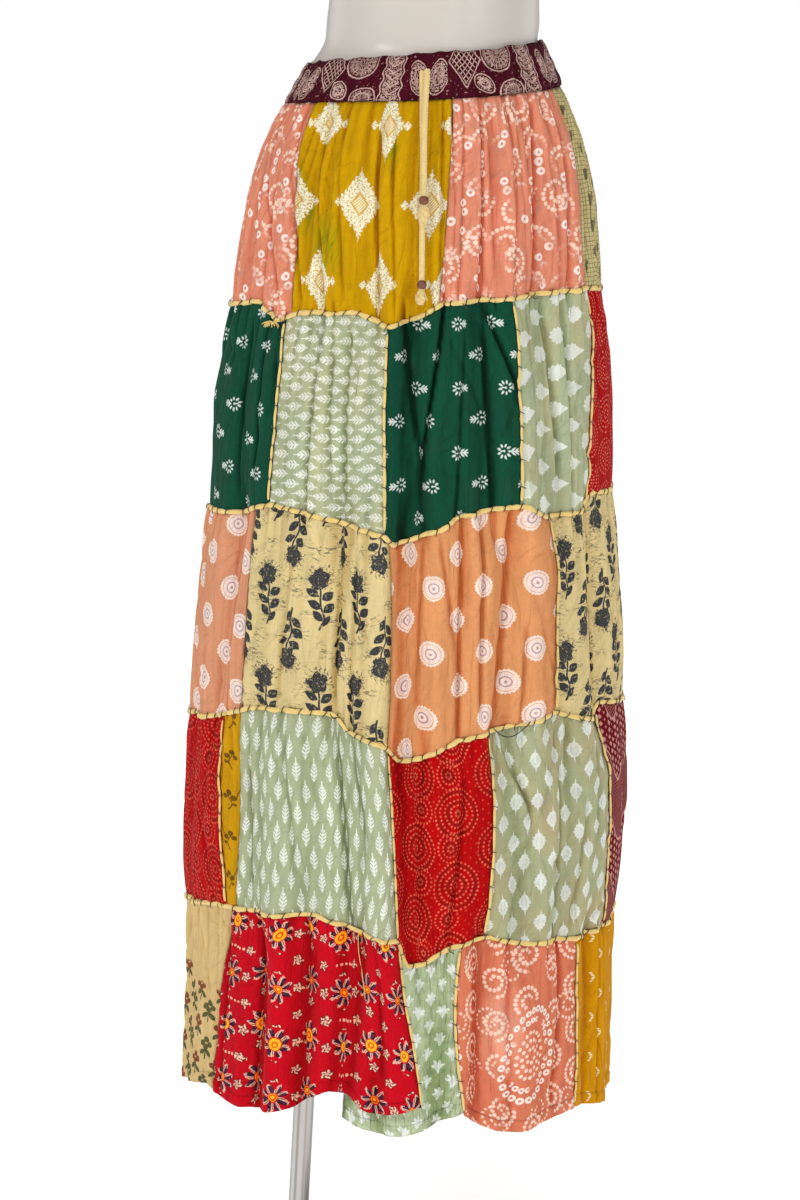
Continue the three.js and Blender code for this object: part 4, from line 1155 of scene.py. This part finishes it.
def print_pull(u, depth):
    """How far the gathers shift a print across. The length over the pleats is taken with a share of
    their slope, less its even part, so that motifs are narrower on the flanks of a pleat. Most of it
    is the mean down the patch, so that the print stays upright."""
    step = np.diff(u, axis=1)
    slope = np.diff(depth, axis=1) / step * PRINT_PULL
    length = np.cumsum(np.pad(np.sqrt(1 + slope**2) * step, ((0, 0), (1, 0))), axis=1)
    shift = length * (u[:, -1:] / length[:, -1:]) - u
    shift = shift * (1 - UPRIGHT_SHARE) + shift.mean(axis=0) * UPRIGHT_SHARE
    return shift - shift[:, shift.shape[1] // 2, None]


def make_patch(upper, lower, row, following, turn):
    """One rectangle of printed cotton between two seams: its mesh with the creases, gathers, seam
    puckers and hem, and its map, with the length that the gathers take."""
    name, slot, *_, start_across, start_down = row
    angle, height, below, above, inset = patch_grid(upper, lower, row, following, turn)
    base = place(angle, height, -inset + folds(angle, height, FOLDS, FADE, 1))
    u, v = distances(base)
    edge = np.minimum(u, u[:, -1:] - u)
    is_hem = lower == "hem"
    far = np.full_like(above, FAR)
    depth = relief(angle, height, below, far if is_hem else above)
    depth += -1.2 * np.exp(-edge / 4) + 0.35 * np.exp(-edge / 9) * np.sin(height * TAU / 13 + angle)
    if slot == "crinkle_green":
        for count, size, seed, deep in ((110, 13, 43, 1.7), (190, 8, 44, 0.8)):
            crush = np.abs(noise(angle / 360 * count, height / size, count, seed))
            depth += deep * np.clip(crush * 3, 0, 1) ** 0.7
        depth -= 1.6
    if is_hem:
        pucker = 0.35 * noise(angle / 360 * 180, height / 6, 180, 41)
        depth += hem_relief(above) + pucker * np.exp(-((above - HEM_DEPTH) / 9) ** 2)
    faces = grid_faces(*angle.shape)
    piece = make_mesh(f"cloth_{name}", place(angle, height, depth - inset), faces, FABRICS[slot])
    # Painted shade: how far the relief lies above or below its neighbours, which the finish turns into
    # painted light and shade.
    add_number(piece, "painted_relief_shade", np.clip(hollows(depth, 3 if "back" in name else 4), -3.0, 1.2))
    middle = u[len(u) // 2]
    across = (angle - angle.min()) * TUCK_DEGREE if name == TUCKED else middle
    taken = swallowed(angle, height)
    across = across + print_pull(u, depth) + taken - taken.mean(axis=1, keepdims=True) + taken.mean()
    level = v + (height[0].max() - height[0])  # prints stay level where the seam above slopes
    add_map(piece, faces, np.stack([across + start_across, level + start_down], axis=-1))
    # Distance to the nearest seam or edge, which the finish darkens into a painted shade.
    add_number(piece, "edge", np.minimum(edge, np.minimum(below, far if is_hem else above)))
    add_number(piece, "hem", above if is_hem else far)
    give_wall(piece, CLOTH)
    settle(piece, slot, name)


def make_waistband():
    """The elasticated casing: a ring of cloth with close gathers, drawn in at both edges."""
    angle, down = np.meshgrid(np.linspace(-180, 180, BAND_COLUMNS), np.linspace(0, 1, BAND_ROWS))
    top, bottom = line_height("band_top", angle), line_height("band_seam", angle) + HALF_SEAM
    height = top + (bottom - top) * down
    turn = angle / 360
    gather = noise(turn * 84 + 0.3 * down, down * 1.5, 84, 61)
    gather += 0.5 * noise(turn * 190, down * 2.2, 190, 62)
    swell = 1.5 * np.sin(np.pi * down) ** 0.6 + 0.5 * np.sin(np.pi * down * 3) ** 2
    depth = 1.5 * gather * (0.7 + 0.3 * np.sin(np.pi * down)) + swell
    height = height + 1.8 * noise(turn * 90, down * 0 + 0.5, 90, 63) * (1 - down)
    points = place(angle, height, depth)
    u, v = distances(place(angle, height, 0))
    faces = grid_faces(*angle.shape)
    piece = make_mesh("cloth_waistband", points, faces, FABRICS["band_print"])
    middle = u[BAND_ROWS // 2]
    add_map(piece, faces, np.stack([np.broadcast_to(middle, u.shape), v], axis=-1))
    # Painted shade: the finish darkens the band towards both edges.
    add_number(piece, "edge", np.minimum(down, 1 - down) * 40)
    # Painted shade and light of the gathers: hollows darker, ridges lighter.
    add_number(piece, "painted_relief_shade", np.clip(hollows(depth, 5), -2, 1) * 1.4)
    add_number(piece, "hem", np.full_like(height, FAR))
    give_wall(piece, BAND_CLOTH)
    settle(piece, "band_print", "waistband")


make_waistband()
for upper, lower, patches in TIERS:
    for index, row in enumerate(patches):
        last = index == len(patches) - 1
        make_patch(upper, lower, row, patches[(index + 1) % len(patches)], 360 if last else 0)

# ---------------------------------------------------------------- braid trims and whip stitches

TRIM_FINISH = thread_finish("trim_braid", paint(240, 210, 130), 2.5)
THREAD_FINISH = thread_finish("whip_thread", paint(52, 38, 30), 1.5)
STITCH_RADIUS = 0.42
SEAM_POINTS, UPRIGHT_POINTS = 961, 140  # along the path of a braid
UPRIGHT_TOP, UPRIGHT_BOTTOM = 0.03, 0.975  # where an upright trim starts and ends, down its tier
# Tier, counted from 0, and patch whose left edge has an upright trim.
UPRIGHT_TRIMS = [
    (1, "t2_sage"), (1, "t2_green"), (1, "t2_sage_buta"), (1, "t2_red"), (2, "t3_cream_side"),
    (3, "t4_mustard_strip"), (3, "t4_red_rings"), (3, "t4_sage_buta"), (3, "t4_maroon"),
    (4, "t5_green"), (4, "t5_salmon"), (4, "t5_mustard"), (1, "t2_back_red"), (3, "t4_back_red"),
    (4, "t5_back_salmon")]


def puffed_braid(path, outward, pitches, width, thickness):
    """A strip sewn down at each pitch, which swells between its stitches."""
    phase = np.interp(lengths_along(path), pitches, np.arange(len(pitches)))
    swell = np.abs(np.sin(np.pi * phase)) ** 0.45
    plump = np.random.RandomState(len(pitches)).uniform(0.72, 1.12, len(pitches))
    swell = swell * np.interp(phase, np.arange(len(pitches)), plump)
    half_width = width / 2 * (0.45 + 0.55 * swell)
    half_thickness = thickness / 2 * (0.35 + 0.65 * swell)
    return sweep(path, outward, half_width, half_thickness)


def stitches(path, outward, pitches, reach, slant, lift, seed):
    """Short threads over the strip at each pitch: arcs that cross it on a slant."""
    random = np.random.RandomState(seed)
    length = lengths_along(path)
    sample = lambda values, at: np.stack([np.interp(at, length, values[:, k]) for k in range(3)], axis=-1)
    t = np.linspace(-1, 1, 6)
    at = pitches[:, None] + slant * t * (0.7 + 0.6 * random.rand(len(pitches), 1))
    middle, normal = sample(path, at), sample(outward, at)
    side = np.cross(normal, unit(sample(np.gradient(path, axis=0), at)))
    long = reach * (0.75 + 0.5 * random.rand(len(pitches), 1))
    centre = middle + side * (t * long)[..., None] + normal * (lift * (1 - t**2) + 0.1)[..., None]
    across = np.cross(normal, unit(np.gradient(centre, axis=1)))
    return thread_tubes(centre, across, normal, STITCH_RADIUS * np.sqrt(np.clip(1 - t**6, 0.02, 1)))


def uneven_pitches(total, pitch, seed):
    """Distances of stitches along a strip, spaced unevenly around a pitch."""
    count = max(int(round(total / pitch)), 2)
    gaps = 1 + 0.35 * np.random.RandomState(seed).uniform(-1, 1, count)
    return np.r_[0, np.cumsum(gaps)] * total / gaps.sum()


def normals_of(angle, height):
    """Outward normals of the skirt's surface without its small relief."""
    point = lambda a, h: place(a, h, folds(a, h, FOLDS, FADE, 1))
    down = point(angle, height - 3) - point(angle, height + 3)
    return unit(np.cross(down, point(angle + 1, height) - point(angle - 1, height)))


def sew_braid(name, angle, height, depth, pitch, size, stitch, seeds, nodes=(), pointed=False):
    """A braid along a seam and the threads that whip it down at uneven pitches. Its size is width and
    thickness, and a stitch is its reach to each side, its slant and its lift."""
    path, outward = place(angle, height, depth), normals_of(angle, height)
    pitches = uneven_pitches(lengths_along(path)[-1], pitch, seeds[0])
    rings = puffed_braid(path, outward, pitches, *size)
    if pointed:
        rings[[0, -1]] = rings[[0, -1]].mean(axis=1, keepdims=True)
    settle(make_tube(f"braid_{name}", rings, TRIM_FINISH), "trim_braid", *nodes)
    threads = stitches(path, outward, pitches[1:-1], *stitch, seeds[1])
    settle(join_tubes(f"threads_{name}", threads, THREAD_FINISH), "trim_braid")


def make_seam_trim(index, name):
    """The braid round the skirt over a tier seam."""
    angle = np.linspace(-180, 180, SEAM_POINTS)
    height = line_height(name, angle) + 0.7 * noise(angle / 3, angle * 0, 120, 70 + index)
    depth = relief(angle, height, np.zeros_like(angle), np.full_like(angle, 5.0)) + 1.7
    sew_braid(name, angle, height, depth, 15, (5.2, 3.0), (4.4, 2.4, 1.6), (80 + index, 90 + index),
              [f"trim_{index + 1}_{index + 2}"])


def make_upright_trim(tier, patch):
    """The narrower braid down a patch's left edge, which ends in a point at both seams."""
    upper, lower, patches = TIERS[tier]
    row = next(row for row in patches if row[0] == patch)
    down = np.linspace(UPRIGHT_TOP, UPRIGHT_BOTTOM, UPRIGHT_POINTS)
    angle = edge_angle(row, down)
    top, bottom = line_height(upper, angle), line_height(lower, angle)
    height = top + (bottom - top) * down
    depth = relief(angle, height, top - height, height - bottom) + 0.9
    key = tier * 7 + len(patch)
    sew_braid(patch, angle, height, depth, 18, (3.0, 2.1), (3.2, 1.4, 1.2), (100 + key, 130 + key),
              pointed=True)


for index, name in enumerate(("seam_1", "seam_2", "seam_3", "seam_4")):
    make_seam_trim(index, name)
for tier, patch in UPRIGHT_TRIMS:
    make_upright_trim(tier, patch)


def loose_threads(name, routes, radius, material):
    """Thin threads, each a quadratic curve over three points, thinner towards both ends."""
    t = np.linspace(0, 1, 12)
    along = t[:, None]
    start, bend, end = (np.array(routes, float)[:, k, None] for k in range(3))
    centre = (1 - along) ** 2 * start + 2 * along * (1 - along) * bend + along**2 * end
    ahead = unit(np.gradient(centre, axis=1))
    side = unit(np.cross(ahead, np.array([0.2, -1.0, 0.3])))
    thin = radius * np.sqrt(np.clip(1 - (2 * t - 1) ** 8, 0.04, 1))
    settle(join_tubes(name, thread_tubes(centre, side, np.cross(ahead, side), thin), material), "trim_braid")


def on_cloth(angle, height, lift):
    """A point that far above the cloth."""
    a, h, far = np.array([float(angle)]), np.array([float(height)]), np.array([60.0])
    return place(a, h, relief(a, h, far, far) + lift)[0]


def tuft(name, centre, spread, drop, count, radius, material, seed):
    """Frayed ends that leave a knot at all angles and bend down."""
    random = np.random.RandomState(seed)
    turn = random.uniform(-1.9, 1.9, count)  # mostly towards the front and the sides
    out = np.stack([np.sin(turn), -np.cos(turn) * 0.7, np.zeros(count)], axis=1)
    out *= random.uniform(0.5, 1, (count, 1))
    fall = np.array([0, 0, -1.0]) * random.uniform(0.3, 1, (count, 1))
    start = np.array(centre) + out * 1.5 + random.uniform(-1, 1, (count, 3))
    bend = start + out * spread * 0.7 - fall * drop * 0.15
    end = start + out * spread + fall * drop
    loose_threads(name, np.stack([start, bend, end], axis=1), radius, material)


def cloth_routes(*routes):
    """Threads' routes, each of three places on the cloth as (angle, height, lift)."""
    return [[on_cloth(*point) for point in route] for route in routes]


# A dark end of thread: angle, height, how far round its tip is and how far down.
DARK_ENDS = (
    (-46.5, 981, 2.4, 4), (13, 1000, 1.6, 5), (38, 1003, 3, 3), (-9, 978, -1, 6), (41, 806, 2.4, 7),
    (-31, 811, 1.5, 5), (49, 616, 2.2, 4), (-21, 631, 2, 5), (32, 411, 2, 4), (12, 414, 1.6, 4))

loose_threads("hanging_dark_thread", cloth_routes(
    ((23, 617, 3.4), (26.5, 600, 4.8), (30.4, 614, 3.2)),
    ((30.2, 613.4, 3.2), (31.6, 619, 3.4), (32, 622, 2.6))), 0.55, THREAD_FINISH)
loose_threads("stray_pale_thread", cloth_routes(
    ((-11.4, 430, 2.4), (-12, 412, 1.2), (-10.8, 395, 0.9)),
    ((-10.8, 395, 0.9), (-9.8, 380, 0.9), (-9.2, 366, 0.9))), 0.42, TRIM_FINISH)
tuft("frayed_seam_knot", on_cloth(-49, 977, 3.2), 7.5, 5, 26, 0.42, TRIM_FINISH, 5)
tuft("frayed_seam_end", on_cloth(-6, 612, 3), 4, 4, 8, 0.35, TRIM_FINISH, 7)
loose_threads("dark_thread_ends", cloth_routes(*(
    ((a, h, 2.2), (a + 0.6, h - 5, 3.4), (a + round_, h - down, 1.8)) for a, h, round_, down in DARK_ENDS)),
    0.4, THREAD_FINISH)

# ---------------------------------------------------------------- drawstring

SHORT_CORD = [
    (3.4, -99, 1205), (3.4, -102.5, 1200), (2.9, -105.5, 1192), (2.2, -109.5, 1182), (1.6, -114.5, 1170),
    (1.1, -119, 1157), (0.8, -123, 1144), (0.6, -127.3, 1131), (0.5, -131.5, 1118), (0.4, -135.5, 1105),
    (0.3, -139.7, 1096.5)]
LONG_CORD = [
    (-0.9, -98.5, 1204), (-1, -99.7, 1199), (-1, -101.8, 1192), (-0.9, -105, 1182), (-0.8, -109.5, 1170),
    (-0.7, -114, 1157), (-0.6, -118, 1144), (-0.6, -122, 1131), (-0.7, -126, 1118), (-0.8, -130, 1105),
    (-0.9, -133.4, 1092), (-1, -136.3, 1079), (-1.1, -138.9, 1066), (-1.2, -141.1, 1053),
    (-1.3, -143.2, 1040), (-1.4, -144.9, 1031), (-1.5, -146.7, 1021.8)]
CORD_WIDTH, CORD_THICKNESS, BRAID_PITCH = 5.2, 3.7, 3.1
BEAD_RADIUS, BEAD_HALF = 4.5, 4.2
CORD_POINTS = 260
CORD_FINISH = thread_finish("cord_cotton", paint(236, 208, 142), 1.6)


def wood_finish():
    """Lacquered dark wood with an upright grain."""
    finish = Finish("bead_wood")
    x, y, z = finish.spot()
    grain = finish.noise(x + y * 0.3, z, 0.6, 4, 3.0, 3.0)
    colour = finish.blend(grain + 0.5, paint(74, 34, 22), paint(142, 84, 56))
    return finish.finish(colour, 0.42, grain * 0.15, coat=0.3, coat_roughness=0.25)


BEAD_FINISH = wood_finish()


def lathe(name, centre, profile, material, columns=40, relief_of=None):
    """A turned solid: rings of (radius, height) about an upright axis."""
    radius, height = np.array(profile, float).T[..., None]
    if relief_of is not None:
        radius = radius * relief_of(np.arange(columns) * TAU / columns, height)
    return make_tube(name, level_rings(height, radius, radius, columns) + np.array(centre, float), material)


def round_profile(radius, half_height, power):
    """Radii and heights of a round turned end on both sides, blunter with a lower power."""
    turns = np.linspace(0, np.pi, 19)
    return [(radius * max(math.sin(a), 0.02) ** power, half_height * math.cos(a)) for a in turns]


def make_end(name, route, tail, bead_centre, knot_centre, knot_radius, knot_height, seed):
    """One free end: a braided cord whose two strands bulge by turns, then its bead and its knot, from
    which frayed threads hang."""
    path, length = smoothed(route + tail, CORD_POINTS)
    outward = unit(np.cross(np.array([1.0, 0, 0]), unit(np.gradient(path, axis=0))))
    outward = np.where(outward[:, 1:2] > 0, -outward, outward)
    beat = np.linspace(0, length, len(path)) * TAU / BRAID_PITCH
    half_width = CORD_WIDTH / 2 * (1 + 0.07 * np.sin(beat))
    half_thickness = CORD_THICKNESS / 2 * (1 + 0.06 * np.cos(beat))
    half_width[[0, -1]] *= 0.2
    half_thickness[[0, -1]] *= 0.2
    rings = sweep(path, outward, half_width, half_thickness, 14)
    cord = settle(make_tube(f"drawstring_{name}", rings, CORD_FINISH), "cord_cotton", f"cord_{name}")
    bead = lathe(f"turned_bead_{name}", bead_centre, round_profile(BEAD_RADIUS, BEAD_HALF, 0.8), BEAD_FINISH)
    settle(bead, "bead_wood", f"bead_{name}")
    swell = lambda turn, up: 1 + 0.16 * np.sin(turn * 3 + up * 1.1) + 0.05 * np.sin(turn * 8 - up * 2)
    half = knot_height / 2
    profile = [(radius, height - half) for radius, height in round_profile(knot_radius, half, 0.7)]
    knot = lathe(f"tied_knot_{name}", knot_centre, profile, CORD_FINISH, 36, swell)
    settle(knot, "cord_cotton", f"knot_{name}")
    tuft(f"frayed_knot_{name}", np.array(knot_centre) - [0, 1, knot_height * 0.22], knot_radius * 1.1,
         half, int(knot_radius**2 * 1.3), 0.42, CORD_FINISH, seed)


make_end("short", SHORT_CORD, [(0.3, -141, 1091.7), (0.3, -142.8, 1084)], (0.3, -141, 1091.7),
         (0.3, -143.4, 1087.1), 4.6, 15, 1)
make_end("long", LONG_CORD, [(-1.5, -148.3, 1017), (-2, -149.2, 1010)], (-1.5, -148.3, 1017),
         (-2.4, -149.5, 1012.4), 4.2, 13.6, 2)

# ---------------------------------------------------------------- display form and stand

# Height, middle to the side, half width and half depth.
FORM_TOP = [
    (1334, 13, 62, 52), (1330, 13, 82, 71), (1318, 12.5, 95, 82), (1290, 11.5, 96, 83),
    (1262, 10.5, 96.5, 84), (1239, 9.4, 98, 85)]
# Under the waistband: height, and how far the form draws in from the skirt.
FORM_UNDER = [
    (1226, 0), (1204, 0), (1185, 0), (1167, 0), (1140, 8), (1110, 12), (1060, 16), (1010, 18),
    (965, 26), (932, 36), (912, 46), (903, 56), (900, 66)]
FORM_INSET = BAND_CLOTH + 1.2
FORM_RINGS, RING_COLUMNS = 150, 96


def form_finish():
    """Pale gloss paint, a little uneven."""
    finish = Finish("form_gloss")
    x, y, z = finish.spot()
    ripple = finish.noise(x + y, z, 60, 60, 2.0, 1.0)
    colour = finish.shade(paint(204, 197, 187), 1 + ripple * 0.05)
    return finish.finish(colour, 0.42, ripple * 0.15, coat=0.32, coat_roughness=0.22, specular=0.2)


def make_form():
    """The waist block: ellipses whose sizes run smoothly from the capped top to the flat underside."""
    sections = SECTIONS[::-1]
    rows = [tuple(row) for row in FORM_TOP]
    for height, inset in FORM_UNDER:
        centre, half_width, half_depth = (
            np.interp(height, sections[:, 0], sections[:, k]) for k in (1, 2, 3))
        rows.append((height, centre, half_width - FORM_INSET - inset, half_depth - FORM_INSET - inset))
    rows = np.array(rows)
    curve, _ = smoothed(rows[:, [0, 2, 3]], FORM_RINGS)
    centre = np.interp(curve[:, 0], rows[::-1, 0], rows[::-1, 1])
    rings = level_rings(curve[:, :1], curve[:, 1:2], curve[:, 2:3], RING_COLUMNS, centre[:, None])
    settle(make_tube("waist_block", capped(rings, 0.01), form_finish()), "form_gloss", "display_form")


POLE_RADIUS, POLE_FOOT, POLE_LEAN = 10, -126, 50 / 900


def steel_finish(name, colour, roughness, painted_reflections=0.0):
    """Brushed steel. With painted reflections, dark bands of painted reflection run along the pole, placed by
    the distance across it.
    """
    finish = Finish(name)
    x, y, z = finish.spot()
    brush = finish.noise(x * 6 + y * 6, z, 8, 0.8, 2.0, 2.0)
    tone = 1 + brush * 0.12
    if painted_reflections:
        # Painted reflections: dark bands at fixed places across the pole.
        across = (x - POLE_FOOT - z * POLE_LEAN) / POLE_RADIUS
        dark = finish.line(across + 0.42, 0.13, 0.12) + finish.line(across - 0.3, 0.1, 0.1) * 0.7
        dark = dark + finish.line(across - 0.93, 0.14, 0.16) + finish.line(across + 0.95, 0.12, 0.16)
        tone = tone - painted_reflections * dark
    colour = finish.shade(colour, tone)
    return finish.finish(colour, roughness + brush * 0.12, brush * 0.02, metallic=0.75, specular=0.5)


# The pole's dark bands are painted reflections.
POLE_FINISH = steel_finish("pole_steel", paint(196, 192, 188), 0.3, 0.4)
PLATE_FINISH = steel_finish("plate_steel", paint(170, 168, 164), 0.36)


def pole_x(height):
    """Where the leaning pole's middle stands at a height."""
    return POLE_FOOT + POLE_LEAN * height


def make_stand():
    """The leaning pole, its round base plate, and the collars at the pole's foot and top."""
    heights = np.linspace(899.7, 8.3, 60)[:, None]
    pole = capped(level_rings(heights, POLE_RADIUS, POLE_RADIUS, 40, pole_x(heights)), 0.02)
    settle(make_tube("leaning_pole", pole, POLE_FINISH), "pole_steel", "pole")
    profile = [
        (0.1, 8), (160, 8), (167, 7.8), (169, 7.1), (170, 6), (170, 2), (169.4, 0.6), (168, 0), (0.1, 0)]
    plate = lathe("round_plate", (0, 0, 0), profile, PLATE_FINISH, 128)
    settle(plate, "plate_steel", "base_plate")
    for name, node, inner, outer, bottom, top in (
            ("foot_flange", "pole_flange", 11, 24, 8.3, 20),
            ("form_collar", "form_socket", 11, 18, 878, 899.7)):
        profile = [
            (inner, top), (outer - 2.5, top), (outer - 0.8, top - 0.8), (outer, top - 2.5),
            (outer, bottom + 0.8), (outer - 0.8, bottom), (inner, bottom), (inner, top)]
        ring = lathe(name, (pole_x((top + bottom) / 2), 0, 0), profile, PLATE_FINISH, 64)
        settle(ring, "plate_steel", node)


make_form()
make_stand()

# ---------------------------------------------------------------- floor, backdrop and light

FLOOR_RADIUS, DOME_RADIUS = 4000, 40000


def make_stage():
    """A pale floor that glows more with the distance, and round it pale paper up to a dome, which is
    only seen and gives no light to the skirt."""
    floor = Finish("pale_floor")
    x, y, _ = floor.spot()
    away, _ = floor.polar(x, y)
    glow = floor.math("MULTIPLY_ADD", floor.inside(1500 - away, 1600), 0.32, 0.66)
    shader = floor.node("ShaderNodeBsdfPrincipled", None, {
        "Base Color": (0.9, 0.9, 0.9, 1), "Roughness": 0.9, "Specular IOR Level": 0.1,
        "Emission Color": floor.shade((1.0, 1.0, 1.0), glow), "Emission Strength": 1.0})
    floor.node("ShaderNodeOutputMaterial", None, {0: shader.outputs[0]})
    paper = Finish("pale_paper")
    shader = paper.node("ShaderNodeEmission", None, {"Color": (1, 1, 1, 1), "Strength": 1.0})
    paper.node("ShaderNodeOutputMaterial", None, {0: shader.outputs[0]})
    radius = np.array([FLOOR_RADIUS, 2000.0, 1000.0, 300.0, 1.0])[:, None]
    rings = level_rings(0.0, radius, radius, RING_COLUMNS)
    make_tube("floor", rings, floor.material, inward=True)
    rise = np.linspace(0.001, np.pi / 2 - 0.01, 24)[::-1]
    radius = np.r_[DOME_RADIUS * np.cos(rise), DOME_RADIUS, FLOOR_RADIUS][:, None]
    height = np.r_[DOME_RADIUS * np.sin(rise), 0, 0][:, None]
    rings = level_rings(height, radius, radius, RING_COLUMNS)
    dome = make_tube("paper", rings, paper.material, inward=True)
    dome.visible_diffuse = dome.visible_glossy = dome.visible_shadow = dome.visible_transmission = False


def add_light(name, position, target, width, height, power):
    """A rectangular light at a place in metres, turned to a target."""
    data = bpy.data.lights.new(name, "AREA")
    data.energy, data.size, data.size_y, data.shape = power, width, height, "RECTANGLE"
    light = bpy.data.objects.new(name, data)
    bpy.context.scene.collection.objects.link(light)
    light.location = position
    light.rotation_euler = (Vector(target) - Vector(position)).to_track_quat("-Z", "Y").to_euler()


def make_light():
    """A dim white room, a key light from the left, a softer one from the right, a narrow strip that
    shines in the form, one from above and two from behind."""
    world = bpy.data.worlds.new("studio")
    world.use_nodes = True
    background = world.node_tree.nodes["Background"]
    background.inputs["Color"].default_value = (1, 1, 1, 1)
    background.inputs["Strength"].default_value = 0.24
    bpy.context.scene.world = world
    add_light("key", (-2.0, -1.9, 2.2), (0, 0, 0.75), 0.8, 0.8, 28)
    add_light("fill", (1.9, -2.1, 1.6), (0, 0, 0.7), 1.0, 1.0, 12)
    add_light("strip", (0.76, -2.49, 1.2), (0, 0, 1.2), 0.14, 1.8, 6)
    add_light("top", (0.2, -1.3, 2.9), (0, 0, 0.8), 0.9, 0.9, 11)
    add_light("back_left", (-2.3, 1.5, 1.3), (0, 0, 0.7), 1.6, 1.6, 10)
    add_light("back_right", (2.3, 1.5, 1.3), (0, 0, 0.7), 1.6, 1.6, 10)
    bpy.context.scene.view_settings.view_transform = "Standard"


make_stage()
make_light()
